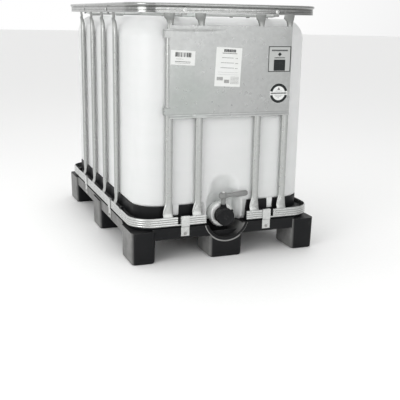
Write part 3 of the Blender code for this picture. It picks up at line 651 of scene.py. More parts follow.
def plate_steel(graph, shader):
    """Spangled sheet with a duller, greener patch low on its left, and painted shade along the
    crease and above the lip.
    """
    colour = zinc(graph, shader, tuple(colours().plate), 95.0, 0.85, (90.0, 90.0, 10.0), 0.55)
    low, high = PLATE_LOW, PLATE_HIGH
    heart = (between(low.x, high.x, 0.16), low.y, between(low.z, high.z, 0.22))
    spot = graph.vector("SUBTRACT", graph.place(), heart)["Vector"]
    far = graph.vector("LENGTH", graph.stretch(spot, (0.8, 0.0, 1.0)))["Value"]
    ragged = graph.calc("ADD", far,
                        graph.remap(graph.noise(graph.place(), 9.0, 4.0), 0.3, 0.7, -0.05, 0.05))
    patch = graph.remap(ragged, 0.17, 0.02, 0.0, 0.55)
    colour = graph.mix(patch, colour, (0.30, 0.33, 0.31, 1.0))
    axes = graph.axes()
    # painted shade: dark lines along the crease near the top and in the bend above the bottom lip
    for place, half, amount, reach in ((between(low.z, high.z, 0.945), 0.0030, 0.45, 0.45),
                                       (low.z + 0.0155, 0.0026, 0.35, 2.0)):
        ends = graph.remap(axes["X"], between(low.x, high.x, reach),
                           between(low.x, high.x, reach - 0.12))
        line = graph.remap(graph.away(axes["Z"], place), half, 0.0, 0.0, amount)
        colour = graph.mix(graph.calc("MULTIPLY", line, ends), colour, (0.08, 0.085, 0.08, 1.0))
    graph.feed(shader.inputs["Base Color"], colour)


def grey_plastic(graph, shader):
    grain = graph.group("moulded grain", Scale=380.0, Depth=0.22)
    base = tuple(colours().lever)
    colour = graph.over(base, shade(base, 1.18), "clouding", Scale=30.0)
    colour = graph.over(colour, (0.50, 0.50, 0.49, 1.0), "edge wear", Radius=0.002, Amount=0.45)
    graph.coat(shader, colour, graph.remap(grain["Mask"], 0.3, 0.7, 0.38, 0.54), grain["Normal"])


def nut_metal(graph, shader):
    base = tuple(colours().nut)
    lines = graph.noise(graph.stretch(graph.place(), (30.0, 900.0, 30.0)), 1.0, 3.0)
    colour = graph.mix(graph.remap(lines, 0.35, 0.65), shade(base, 0.82), base)
    colour = graph.over(colour, (0.85, 0.85, 0.84, 1.0), "edge wear", Radius=0.0015, Amount=0.6)
    graph.coat(shader, colour, graph.remap(lines, 0.3, 0.7, 0.22, 0.36),
               graph.bump(lines, 0.12, 0.0003))
    shader.inputs["Metallic"].default_value = 0.35


def screw_steel(graph, shader):
    """Plated steel of the strap screws."""
    grain = graph.noise(graph.place(), 700.0, 4.0, 0.6)
    colour = graph.mix(grain, (0.22, 0.22, 0.215, 1.0), (0.42, 0.415, 0.40, 1.0))
    colour = graph.over(colour, (0.50, 0.49, 0.46, 1.0), "edge wear", Radius=0.001, Amount=0.5)
    graph.coat(shader, colour, graph.remap(grain, 0.3, 0.7, 0.35, 0.50))
    shader.inputs["Metallic"].default_value = 0.8


def rubber(graph, shader):
    grain = graph.group("moulded grain", Scale=600.0, Depth=0.3)
    colour = graph.mix(grain["Mask"], (0.016, 0.016, 0.016, 1.0), (0.035, 0.035, 0.034, 1.0))
    graph.coat(shader, colour, graph.remap(grain["Mask"], 0.3, 0.7, 0.70, 0.88), grain["Normal"])


def label_paper(graph, shader):
    base = tuple(colours().paper)
    fibre = graph.noise(graph.place(), 900.0, 4.0, 0.7)
    stain = graph.calc("MULTIPLY", graph.group("clouding", Scale=22.0)["Mask"], 0.5)
    colour = graph.mix(stain, base, (base[0] * 0.93, base[1] * 0.93, base[2] * 0.90, 1.0))
    graph.coat(shader, colour, graph.remap(fibre, 0.3, 0.7, 0.45, 0.60),
               graph.bump(fibre, 0.08, 0.0002))


def label_film(graph, shader):
    """Pale grey film of the stacking mark, close to the plate's own shade."""
    fibre = graph.noise(graph.place(), 500.0, 3.0)
    colour = graph.mix(fibre, (0.40, 0.41, 0.40, 1.0), (0.46, 0.47, 0.46, 1.0))
    graph.coat(shader, colour, graph.remap(fibre, 0.3, 0.7, 0.34, 0.44))


def print_ink(graph, shader):
    worn = graph.remap(graph.noise(graph.place(), 260.0, 5.0, 0.7), 0.55, 0.80, 0.0, 0.45)
    colour = graph.mix(worn, tuple(colours().ink), (0.16, 0.16, 0.155, 1.0))
    graph.coat(shader, colour, graph.remap(worn, 0.0, 0.45, 0.42, 0.62))
    shader.inputs["Specular IOR Level"].default_value = 0.25


def faint_ink(graph, shader):
    worn = graph.remap(graph.noise(graph.place(), 420.0, 5.0, 0.7), 0.4, 0.7)
    colour = graph.mix(worn, (0.10, 0.10, 0.10, 1.0), (0.26, 0.26, 0.255, 1.0))
    graph.coat(shader, colour, graph.remap(worn, 0.0, 1.0, 0.45, 0.60))


def studio_floor(graph, shader):
    base = tuple(colours().floor)
    fleck = graph.noise(graph.place(), 60.0, 5.0, 0.6)
    colour = graph.mix(graph.remap(fleck, 0.3, 0.7), base, shade(base, 0.975))
    graph.coat(shader, colour, graph.remap(fleck, 0.3, 0.7, 0.62, 0.72))


# each finish: the slot of the record that it belongs to, and what builds it
FINISHES = {
    "black plastic": ("black_plastic", black_plastic),
    "pallet plastic": ("black_plastic", pallet_plastic),
    "bottle plastic": ("bottle_plastic", bottle_plastic),
    "strip steel": ("galvanised_steel", strip_steel),
    "strap steel": ("galvanised_steel", strap_steel),
    "rail steel": ("galvanised_steel", rail_steel),
    "bar steel": ("bar_steel", bar_steel),
    "plate steel": ("plate_steel", plate_steel),
    "grey plastic": ("grey_plastic", grey_plastic),
    "nut metal": ("nut_metal", nut_metal),
    "screw steel": ("galvanised_steel", screw_steel),
    "rubber": ("rubber", rubber),
    "label paper": ("bottle_plastic", label_paper),
    "label film": ("plate_steel", label_film),
    "print ink": ("black_plastic", print_ink),
    "faint ink": ("grey_plastic", faint_ink),
    "studio floor": ("", studio_floor),
}


def material(name):
    """A finish's material, built the first time it is asked for."""
    found = bpy.data.materials.get(name)
    if found is not None:
        return found
    made = bpy.data.materials.new(name)
    made.use_nodes = True
    tree = made.node_tree
    FINISHES[name][1](Graph(tree), tree.nodes["Principled BSDF"])
    return made


# ---- pallet ----
PALLET_LOW, PALLET_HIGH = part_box("pallet")
FORK_HEIGHT = 0.092
TRAY_LOW, TRAY_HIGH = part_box("base_tray")
DECK_TOP = TRAY_LOW.z - 0.0003
BEAM_INSET = 0.008
SCOOP_Z = 0.165
SCOOP_OUTER = 0.098
SCOOP_INNER = 0.084
SCOOP_BACK = -0.4985


def foot_list():
    """Centre and size of the nine feet."""
    feet = []
    for sx in (-1, 0, 1):
        for sy in (-1, 0, 1):
            size = (0.142 if sx == 0 else 0.100, 0.140 if sy == 0 else 0.160)
            feet.append(((sx * (PALLET_HIGH.x - size[0] / 2), sy * (PALLET_HIGH.y - size[1] / 2)),
                         size))
    return feet


def build_pallet():
    """One moulding: deck, edge beams, nine drafted feet, ribs below and the valve's scoop."""
    beam_x, beam_y = PALLET_HIGH.x - BEAM_INSET, PALLET_HIGH.y - BEAM_INSET
    deck = rounded_solid([(FORK_HEIGHT, beam_x - 0.001, beam_y - 0.001, 0.03),
                          (DECK_TOP, beam_x, beam_y, 0.03)])
    adds = []
    for centre, size in foot_list():
        top = DECK_TOP if centre != (0.0, 0.0) else FORK_HEIGHT + 0.01
        hx, hy = size[0] / 2, size[1] / 2
        adds.append(rounded_solid([(0.0, hx - 0.005, hy - 0.005, 0.016),
                                   (0.004, hx - 0.0018, hy - 0.0018, 0.018),
                                   (0.060, hx - 0.0008, hy - 0.0008, 0.018),
                                   (top, hx, hy, 0.018)], 8, centre))
    lip = 0.0045
    for sign in (-1, 1):
        edges = sorted((sign * beam_y, sign * (beam_y - lip)))
        adds.append(block((-0.311, 0.311), edges, (DECK_TOP - 0.01, PALLET_HIGH.z)))
        edges = sorted((sign * beam_x, sign * (beam_x - lip)))
        adds.append(block(edges, (-0.43, 0.43), (DECK_TOP - 0.01, PALLET_HIGH.z)))
    front = PALLET_LOW.y
    centre = (0.0, SCOOP_Z)
    adds.append(turned([(front + 0.0002, SCOOP_OUTER - 0.003), (front + 0.003, SCOOP_OUTER),
                        (front + 0.095, SCOOP_OUTER)], "Y", centre, 72))
    cuts = [block((-0.2, 0.2), (front - 0.01, front + 0.12), (PALLET_HIGH.z, 0.30)),
            block((-0.2, 0.2), (front + BEAM_INSET + lip, front + 0.12), (DECK_TOP, 0.30)),
            turned([(front - 0.01, SCOOP_INNER + 0.002), (front + 0.004, SCOOP_INNER),
                    (SCOOP_BACK, SCOOP_INNER)], "Y", centre, 72)]
    for sx in (-1, 1):
        for row in range(6):
            y = (row - 2.5) * 0.150
            for cell in (-1, 1):
                x = sx * 0.186 + cell * 0.0485
                cuts.append(block((x - 0.0455, x + 0.0455), (y - 0.066, y + 0.066),
                                  (FORK_HEIGHT - 0.01, DECK_TOP - 0.010)))
    piece("pallet_moulding", carve(deck, adds, cuts), "pallet plastic", bevel=sizes().edge,
          stands_for=("pallet", "pallet_foot_front", "pallet_foot_centre", "pallet_foot_rear",
                      "valve_scoop"))
    shelf = block((-0.060, 0.060), (front + 0.030, front + 0.034), (0.083, 0.104))
    piece("scoop_rib", shelf, "pallet plastic", bevel=0.001)


# ---- tray ----
def bottle_half():
    return BOTTLE_HIGH.x, BOTTLE_HIGH.y


def build_tray():
    """Pan with a flange, a slim wall, notches for the bottle's legs and snap hooks."""
    hx, hy = bottle_half()
    fx, fy = 0.386, TRAY_HIGH.y
    radius = sizes().corner
    flange_top = 0.166
    base = rounded_solid([(TRAY_LOW.z, fx - 0.002, fy - 0.002, 0.083),
                          (TRAY_LOW.z + 0.003, fx, fy, 0.085),
                          (flange_top - 0.004, fx, fy, 0.085),
                          (flange_top - 0.001, fx - 0.0015, fy - 0.0015, 0.084),
                          (flange_top, fx - 0.004, fy - 0.004, 0.081),
                          (flange_top, hx + 0.004, hy + 0.004, radius + 0.002),
                          (flange_top + 0.004, hx, hy, radius),
                          (TRAY_HIGH.z - 0.0012, hx, hy, radius),
                          (TRAY_HIGH.z, hx - 0.0012, hy - 0.0012, radius)], 16)
    wall = 0.0055
    cuts = [rounded_solid([(z, hx - wall, hy - wall, radius - wall)
                           for z in (TRAY_LOW.z + 0.005, TRAY_HIGH.z + 0.05)], 16)]
    for sy in (-1, 1):
        for sx in (-1, 1):
            x = sx * LEG_X
            y = sorted((sy * (hy - 0.03), sy * (hy + 0.01)))
            cuts.append(loft([[(x - w, y0, z) for w, z in ((0.0120, 0.179), (-0.0120, 0.179),
                                                           (-0.0148, 0.230), (0.0148, 0.230))]
                              for y0 in y]))
    shape = ((0.094, 0.100), (0.098, 0.186), (0.1065, 0.240))
    outline = [(-w, z) for w, z in shape] + [(w, z) for w, z in shape[::-1]]
    cuts.append(loft([[(x, y, z) for x, z in outline] for y in (-0.62, -(hy - 0.0065))]))
    cuts.append(turned([(-0.62, SCOOP_INNER), (SCOOP_BACK, SCOOP_INNER)], "Y", (0, SCOOP_Z), 72))
    piece("tray_moulding", carve(base, cuts=cuts), "black plastic", stands_for=("base_tray",),
          bevel=0.0008)
    rail_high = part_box("bottom_rail")[1]
    for sx in (-1, 1):
        for sy in (-1, 1):
            inner, outer = fx - 0.006, rail_high.x - 0.0045
            top = rail_high.z
            profile = [(inner, flange_top - 0.002), (inner, top + 0.004)]
            profile += arc((inner + 0.006, top + 0.004), 0.006, 180, 60, 6)
            profile += [(rail_high.x + 0.001, top + 0.0045), (rail_high.x + 0.001, top + 0.001),
                        (outer, top + 0.001), (outer, flange_top - 0.002)]
            y = sy * 0.400
            hook = loft([[(sx * x, y + w, z) for x, z in profile] for w in (-0.008, 0.008)])
            name = f"tray_hook_{'right' if sx > 0 else 'left'}_{'rear' if sy > 0 else 'front'}"
            piece(name, hook, "black plastic", bevel=0.0007)


# ---- bottle ----
LEG_X = 0.207
NICHE_HALF = 0.070
OPEN_FROM = 0.150              # the tray's wall is open in front of the bottle above this
FRONT_STEPS = 76
SIDE_STEPS = 30
CORNER_STEPS = 12


def bottle_ring(half_x, half_y, radius):
    """Outline with divided straights, counter-clockwise from the front left corner's end."""
    points = []
    straights = ((FRONT_STEPS, (-1, -1), (1, -1)), (SIDE_STEPS, (1, -1), (1, 1)),
                 (SIDE_STEPS, (1, 1), (-1, 1)), (SIDE_STEPS, (-1, 1), (-1, -1)))
    for number, (steps, start, end) in enumerate(straights):
        level = start[1] == end[1]
        for i in range(steps):
            t = i / steps
            sx, sy = between(start[0], end[0], t), between(start[1], end[1], t)
            x = sx * (half_x - radius) if level else start[0] * half_x
            y = start[1] * half_y if level else sy * (half_y - radius)
            points.append((x, y))
        centre = (end[0] * (half_x - radius), end[1] * (half_y - radius))
        points += arc(centre, radius, -90 + 90 * number, 90 * number, CORNER_STEPS)[:-1]
    return points


def niche_depth(x, z):
    """How far the front wall stands back for the valve, and how fully, at a point."""
    half = NICHE_HALF
    top = 0.352
    spring = top - half
    inside = half - (abs(x) if z < spring else math.hypot(x, z - spring))
    soft = between(0.014, 0.044, ease((z - 0.215) / 0.06))
    mask = ease(inside / soft + between(0.35, 0.0, ease((z - 0.215) / 0.06)))
    depth = 0.057 * min(1.0, max(0.0, (top - z) / (top - 0.210)))
    return depth, mask


def bottle_levels():
    """Height and inset of each ring of the bottle's outside, from the foot to the shoulder."""
    low = BOTTLE_LOW
    step = TRAY_HIGH.z + 0.001
    rows = [(low.z, 0.024), (low.z + 0.003, 0.0165), (low.z + 0.012, 0.0085)]
    rows += [(z, 0.008) for z in spread(low.z + 0.018, step, 12)]
    rows += [(step + 0.001, 0.006), (step + 0.0025, 0.0015), (step + 0.005, 0.0)]
    rows += [(z, 0.0) for z in spread(step + 0.010, 0.372, 24)]
    top = high_top() - sizes().shoulder
    rows += [(z, 0.0) for z in spread(0.390, top, 22)]
    for i in range(1, 15):
        angle = math.radians(90) * i / 14
        rows.append((top + sizes().shoulder * math.sin(angle),
                     sizes().shoulder * (1 - math.cos(angle))))
    return rows


def spread(low, high, count):
    return [between(low, high, i / (count - 1)) for i in range(count)]


def high_top():
    """Top of the bottle's body, under the filling neck."""
    return GASKET_LOW.z - 0.0233


def build_bottle():
    """Hollow blow-moulded bottle with a soft niche, a crowned top and a filling neck."""
    hx, hy = bottle_half()
    corner = sizes().corner
    step = TRAY_HIGH.z + 0.006
    sections = []
    for z, inset in bottle_levels():
        half_x, half_y = hx - inset, hy - inset
        radius = max(0.03, corner - inset)
        ring = []
        for x, y in bottle_ring(half_x, half_y, radius):
            if y < -half_y + 0.02:
                if OPEN_FROM < z < step:
                    y -= inset * (1.0 - ease((abs(x) - 0.084) / 0.008))
                depth, mask = niche_depth(x, z)
                y = between(y, max(y, -hy + depth), mask)
            # the walls fall in very slightly between the shoulder and the foot
            belly = 0.0016 * math.sin(math.pi * min(1.0, max(0.0, (z - 0.24) / 0.60)))
            if abs(x) > abs(y) * hx / hy:
                x -= math.copysign(belly * ease(1 - abs(y) / (hy - 0.06)), x)
            else:
                y -= math.copysign(belly * ease(1 - abs(x) / (hx - 0.06)), y)
            ring.append((x, y, z))
        sections.append(ring)
    top = high_top()
    neck = GASKET_HIGH.x + 0.0005
    start = sections[-1]
    crown = 0.0015
    for i in range(1, 9):
        t = i / 8
        ring = []
        for x, y, z in start:
            angle = math.atan2(y, x)
            reach = neck + 0.010
            ring.append((between(x, reach * math.cos(angle), ease(t) * 0.35 + t * 0.65),
                         between(y, reach * math.sin(angle), ease(t) * 0.35 + t * 0.65),
                         top + crown * math.sin(math.pi * t)))
        sections.append(ring)
    for radius, z in ((neck + 0.004, top + 0.0008), (neck + 0.001, top + 0.0030),
                      (neck, top + 0.006), (neck, GASKET_LOW.z - 0.0003)):
        sections.append([(radius * math.cos(math.atan2(y, x)), radius * math.sin(math.atan2(y, x)),
                          z) for x, y, _ in start])
    shell = loft(sections, caps=False)
    shell.verts.ensure_lookup_table()
    shell.faces.new([shell.verts[i] for i in range(len(sections[0]) - 1, -1, -1)])
    bmesh.ops.recalc_face_normals(shell, faces=shell.faces)
    bottle = piece("bottle_shell", shell, "bottle plastic", stands_for=("bottle", "fill_neck"),
                   crease=60)
    wall = bottle.modifiers.new("wall", "SOLIDIFY")
    wall.thickness = sizes().wall
    wall.offset = -1.0
    build_bottle_feet(hy)
    build_outlet_neck()


def build_bottle_feet(hy):
    """Short legs of the bottle that fill the notches in the tray's wall."""
    for sy, end in ((-1, "front"), (1, "rear")):
        for sx, hand in ((-1, "left"), (1, "right")):
            x = sx * LEG_X
            levels = ((0.1815, 0.0100), (0.184, 0.0112), (0.214, 0.0128), (0.226, 0.0136))
            outer = hy - 0.0002
            leg = loft([[(x + w * a, sy * (outer - 0.016 if b else outer), z)
                         for a, b in ((-1, 0), (1, 0), (1, 1), (-1, 1))] for z, w in levels])
            piece(f"bottle_leg_{end}_{hand}", leg, "bottle plastic", bevel=0.0016)


def build_outlet_neck():
    """Threaded stub of the bottle behind the union nut."""
    start, end = -0.4995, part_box("valve_gasket")[1].y + 0.0003
    centre = (0.0, middle("valve_gasket").z)
    outer, inner = 0.0352, 0.0235
    profile = [(start, inner), (start, outer)]
    for i in range(4):
        y = between(start - 0.004, end + 0.006, i / 3)
        profile += [(y + 0.0016, outer), (y, outer + 0.0008), (y - 0.0016, outer)]
    profile += [(end, outer), (end, inner)]
    piece("outlet_stub", turned(profile, "Y", centre, 64, ring=True), "bottle plastic",
          stands_for=("outlet_neck",))


# ---- rails ----
def rail_piece(name, node, finish, profile, path, closed=False, cuts=()):
    """Run a profile of (out, height) along a path of points and outward normals."""
    sections = [[point + normal * out + UP * z for out, z in profile] for point, normal in path]
    bm = loft(sections, closed)
    if cuts:
        bm = carve(bm, cuts=cuts)
    piece(name, bm, finish, stands_for=(node,))


def build_bottom_rail():
    """Four-ribbed strip bent round the foot of the cage, open at the valve."""
    low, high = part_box("bottom_rail")
    thick = 0.004
    profile = [(0.0, low.z), (0.0006, low.z)]
    ribs, fine = 4, 9
    pitch = (high.z - low.z - 0.002) / ribs
    for rib in range(ribs):
        for i in range(fine):
            t = (i + 0.5) / fine
            rise = math.sin(math.pi * t) ** 0.42
            profile.append((thick - 0.0031 * (1 - rise), low.z + 0.001 + (rib + t) * pitch))
    profile += [(0.0012, high.z), (0.0, high.z)]
    half = (high.x - thick, high.y - thick)
    path = rail_path(half, 0.086, 18, 0.089)
    cuts = [block(sorted((s * 0.1975, s * 0.2095)), (-0.61, -0.57), (low.z + 0.007, high.z + 0.01))
            for s in (-1, 1)]
    rail_piece("bottom_rail_strip", "bottom_rail", "strip steel", profile, path, cuts=cuts)


def build_top_rail():
    """Rolled rail: round bead on top, groove, and a web with two fine ribs."""
    low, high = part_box("top_rail")
    half = (0.388, 0.588)
    top = high.z
    profile = [(0.0, low.z), (0.0, top - 0.002)]
    profile += arc((0.0028, top - 0.0028), 0.0028, 180, 90, 4)[1:]
    profile += arc((0.0045, top - 0.0062), 0.0055, 68, -62, 12)
    profile += [(0.0042, top - 0.0136), (0.0034, top - 0.0152)]
    for centre in (0.0185, 0.0235, 0.0285):
        for shift, out in ((-0.0019, 0.0044), (-0.0012, 0.0053), (0.0, 0.0055), (0.0012, 0.0053),
                           (0.0019, 0.0044)):
            profile.append((out, top - centre + shift))
    profile += [(0.0050, low.z + 0.0035), (0.0055, low.z + 0.002), (0.0048, low.z)]
    path = rail_path(half, 0.105, 20)
    rail_piece("top_rail_ring", "top_rail", "rail steel", profile, path, closed=True)


# ---- upright bars ----
def build_bar(name, side, index):
    """Tube pressed flat at both ends, leaning out to the rails, with a crimp above and below."""
    node = f"{side}_bar_{index}"
    across, out, reach = side_frame(side)
    centre = middle(node)
    along = centre.dot(across)
    low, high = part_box(node)
    ends = side in ("front", "rear")
    plane = reach - (0.028 if ends else 0.0205)
    low_end = reach - 0.0108
    top_end = reach - 0.0138
    width, depth = sizes().bar_width, sizes().bar_depth
    # height, distance out, width, depth, and how far to one side the front tubes stand
    keys = ((low.z, low_end, 0.041, 0.003, 0.0), (low.z + 0.035, low_end, 0.041, 0.003, 0.0),
            (low.z + 0.048, low_end - 0.006, 0.040, 0.0055, 0.0),
            (low.z + 0.092, plane, width, depth, TUBE_SHIFT),
            (high.z - 0.104, plane, width, depth, TUBE_SHIFT),
            (high.z - 0.074, plane, 0.0225, 0.0190, TUBE_SHIFT + 0.0030),
            (high.z - 0.056, plane + 0.002, 0.0235, 0.0160, TUBE_SHIFT + 0.0028),
            (high.z - 0.043, plane + 0.006, 0.0300, 0.0105, TUBE_SHIFT),
            (high.z - 0.034, top_end - 0.003, 0.0400, 0.0058, 0.0010),
            (high.z - 0.026, top_end - 0.001, 0.0434, 0.0038, 0.0),
            (high.z - 0.017, top_end, 0.0436, 0.003, 0.0), (high.z, top_end, 0.0436, 0.003, 0.0))
    pitched = 1.0 if side == "front" else 0.0
    stops = spread(low.z, low.z + 0.10, 15) + spread(low.z + 0.16, high.z - 0.16, 6)
    stops += spread(high.z - 0.12, high.z, 21)
    stations = []
    for z in stops:
        distance, wide, deep, shift = eased_keys(keys, z)
        place = across * (along + shift * pitched) + out * distance
        stations.append((place + Vector((0, 0, z)), (0, 0, 1), wide, deep))
    piece(name, sweep(stations, across, 32, 2.3), "bar steel", stands_for=(node,), crease=50)
    # two spot welds where each end meets its rail
    for z, label in ((low.z + 0.012, "low"), (high.z - 0.009, "top")):
        distance = (low_end if label == "low" else top_end) - 0.0018
        for shift, hand in ((-0.011, "a"), (0.011, "b")):
            place = across * (along + shift) + out * distance + Vector((0, 0, z))
            piece(f"{name}_weld_{label}_{hand}", weld_dot(place, out), "bar steel")


def weld_dot(place, out):
    """Shallow dimple of a spot weld on the inner face of a bar's flattened end."""
    levels = ((0.0006, 0.0030), (0.0002, 0.0031), (-0.0002, 0.0024), (-0.0003, 0.0008))
    return studded(place, out.cross(UP), out, levels, 14)


def build_bars():
    for side in SIDES:
        for index in (1, 2, 3, 4):
            build_bar(f"{side}_upright_{index}", side, index)


# ---- cross bars and rivets ----
# the short hold-down bars cross over the long ones
LONG_BAR_Z = 0.9575
SHORT_BAR_Z = 0.9745


def build_cross_bar(name, node, side, height):
    """Hold-down bar with flattened ends bent up against the rail."""
    across, out, reach = side_frame(side)
    along = middle(node).dot(across)
    low = LONG_BAR_Z
    end = reach - 0.0138
    round_bar = 0.016
    up, level = UP, -out
    half = [(end, low + 0.0205, -up, 0.0233, 0.003), (end, low + 0.0130, -up, 0.0233, 0.003),
            (end, low + 0.0075, -up, 0.0233, 0.003),
            (end - 0.0007, low + 0.0030, -up - out * 0.4, 0.0233, 0.0034),
            (end - 0.0030, low + 0.0005, -up - out, 0.0233, 0.004),
            (end - 0.0070, low - 0.0007, -up * 0.4 - out, 0.0230, 0.0045),
            (end - 0.012, low - 0.001, level, 0.0220, 0.006),
            (end - 0.022, low - 0.0004, level, 0.0190, 0.011),
            (end - 0.035, low, level, round_bar, round_bar)]
    if height > low:
        for t in spread(0.0, 1.0, 9):
            place = between(0.268, 0.222, t)
            half.append((place, between(low, height, ease(t)), level, round_bar, round_bar))
    stations = []
    for distance, z, direction, width, thickness in half:
        stations.append((across * along + out * distance + up * z, direction, width, thickness))
    for distance, z, direction, width, thickness in reversed(half):
        mirrored = Vector(direction)
        mirrored.z = -mirrored.z
        stations.append((across * along - out * distance + up * z, mirrored, width, thickness))
    piece(name, sweep(stations, across, 24), "strap steel", stands_for=(node,), crease=50)


def build_rivet(name, node, side):
    """Domed head on a washer outside the rail, upset head inside."""
    across, out, reach = side_frame(side)
    centre = middle(node)
    inner = reach - 0.012
    face = inner + 0.0058
    back = inner - 0.0039
    profile = [(back - 0.003, 0.0015), (back - 0.0028, 0.0040), (back - 0.0018, 0.0052),
               (back, 0.0055), (back, 0.0034), (face, 0.0034), (face, 0.0075),
               (face + 0.0008, 0.0075), (face + 0.0009, 0.0058), (face + 0.0022, 0.0052),
               (face + 0.0032, 0.0036), (face + 0.0036, 0.0012)]
    along = centre.dot(across)
    heads = studded(across * along + UP * centre.z, across, out, profile, 28)
    piece(name, heads, "strap steel", stands_for=(node,))
    # the hold-down bar's bend shows below the rail's lower edge
    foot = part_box("top_rail")[0].z
    bend = loft([[across * (along + sx * wide) + out * (inner - deep) + Vector((0, 0, z))
                  for sx, deep in ((-1, 0.0), (1, 0.0), (1, 0.0042), (-1, 0.0042))]
                 for z, wide in ((foot - 0.0080, 0.0098), (foot - 0.0062, 0.0112),
                                 (foot + 0.0060, 0.0114))])
    # the bar steel finish gives it the painted shade under the top rail
    piece(f"{name}_bend", bend, "bar steel", bevel=0.0006)


def build_hold_downs():
    for index in (1, 2):
        build_cross_bar(f"long_hold_down_{index}", f"long_cross_bar_{index}", "front", LONG_BAR_Z)
        build_cross_bar(f"short_hold_down_{index}", f"short_cross_bar_{index}", "right", SHORT_BAR_Z)
    for side in SIDES:
        for index in (1, 2):
            build_rivet(f"{side}_rail_rivet_{index}", f"{side}_rivet_{index}", side)


# ---- clamps and their screws ----
def build_clamp(side, index):
    """Strap hooked over the bottom rail, stepped in to the pallet's beam, with a hex screw."""
    node = f"{side}_clamp_{index}"
    across, out, reach = side_frame(side)
    along = middle(node).dot(across)
    rail_low, rail_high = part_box("bottom_rail")
    low, high = rail_low.z, rail_high.z
    rail, beam, t, gap = reach - 0.005, reach - BEAM_INSET, 0.0025, 0.0003
    outer = rail + gap + t
    inner = rail - 0.004 - gap
    profile = [(inner - t, high - 0.010), (inner, high - 0.010), (inner, high + gap),
               (rail + gap, high + gap), (rail + gap, low - 0.0015), (beam + gap, low - 0.0045),
               (beam + gap, 0.102), (beam + gap + t, 0.102), (beam + gap + t, low - 0.0065),
               (outer, low - 0.0030)]
    profile += [(outer - 0.0012 + x, high + gap + t - 0.0012 + z)
                for x, z in arc((0.0, 0.0), 0.0012, 0, 90, 4)]
    profile += [(inner - t, high + gap + t)]
    half = 0.0175
    sections = [[across * (along + shift) + out * distance + Vector((0, 0, z))
                 for distance, z in profile] for shift in (-half, half)]
    piece(f"{side}_strap_{index}", loft(sections), "strap steel", stands_for=(node,),
          bevel=0.0006)
    face = beam + gap + t
    head = screw_head(across * along + out * face + Vector((0, 0, 0.1125)), out)
    piece(f"{side}_strap_screw_{index}", head, "screw steel", bevel=0.0004)


def screw_head(place, out):
    """Flanged hex head, its tip just inside the footprint."""
    levels = ((0.0, 0.0068), (0.0008, 0.0066), (0.0009, 0.0052), (0.0024, 0.0052),
              (0.0029, 0.0040))
    return studded(place, out.cross(UP), out, levels, 24, six=(2, 3))


def build_clamps():
    for side in SIDES:
        for index in (1, 2):
            build_clamp(side, index)


# ---- label plate ----
PLATE_WAVE = 0.0004
# how far labels and their print stand off the plate, and how thick each is
PAPER_LIFT = 0.00035
PAPER_THICKNESS = 0.0003
INK_LIFT = 0.0007
INK_THICKNESS = 0.0002


def plate_limits():
    """Left, right, bottom and top of the plate's sheet."""
    return PLATE_LOW.x + 0.0205, PLATE_HIGH.x, PLATE_LOW.z, PLATE_HIGH.z


def plate_front(x, z):
    """Front of the plate's sheet: gentle waves, a crease near the top and a lip at the foot."""
    left, right, bottom, top = plate_limits()
    base = PLATE_LOW.y + 0.0040
    u = (x - left) / (right - left)
    v = (z - bottom) / (top - bottom)
    wave = math.sin(2.3 * math.pi * u + 0.7) * math.sin(1.7 * math.pi * v + 0.4)
    wave += 0.45 * math.sin(5.1 * math.pi * u - 1.0 + 2.0 * v) * math.sin(3.3 * math.pi * v)
    fade = ease(u / 0.06) * ease((1 - u) / 0.06) * ease(v / 0.08) * ease((1 - v) / 0.06)
    y = base - 0.0002 + PLATE_WAVE * (wave - 0.6) * fade
    y += 0.0018 * math.exp(-((v - 0.945) / 0.010) ** 2) * ease((0.46 - u) / 0.12)
    lip = ease((bottom + 0.013 - z) / 0.011)
    dent = 0.35 * math.exp(-((u - 0.235) / 0.05) ** 2)
    return y - 0.0038 * lip * (1.0 - dent)


def sheet_patch(left, right, bottom, top, columns, rows, lift, thickness, turn=0.0, into=None):
    """A thin closed sheet that follows the plate, turned about its own middle."""
    cx, cz = (left + right) / 2, (bottom + top) / 2
    ca, sa = math.cos(turn), math.sin(turn)
    bm = bmesh.new() if into is None else into
    layers = []
    for level in (lift, lift - thickness):
        grid = []
        for j in range(rows + 1):
            row = []
            for i in range(columns + 1):
                dx = between(left, right, i / columns) - cx
                dz = between(bottom, top, j / rows) - cz
                x, z = cx + dx * ca - dz * sa, cz + dx * sa + dz * ca
                row.append(bm.verts.new((x, plate_front(x, z) - level, z)))
            grid.append(row)
        layers.append(grid)
    outer, inner = layers
    for j in range(rows):
        for i in range(columns):
            bm.faces.new((outer[j][i], outer[j][i + 1], outer[j + 1][i + 1], outer[j + 1][i]))
            bm.faces.new((inner[j][i], inner[j + 1][i], inner[j + 1][i + 1], inner[j][i + 1]))
    for j in range(rows):
        for i in (0, columns):
            bm.faces.new((outer[j][i], outer[j + 1][i], inner[j + 1][i], inner[j][i]))
    for i in range(columns):
        for j in (0, rows):
            bm.faces.new((outer[j][i], inner[j][i], inner[j][i + 1], outer[j][i + 1]))
    if into is None:
        bmesh.ops.recalc_face_normals(bm, faces=bm.faces)
    return bm


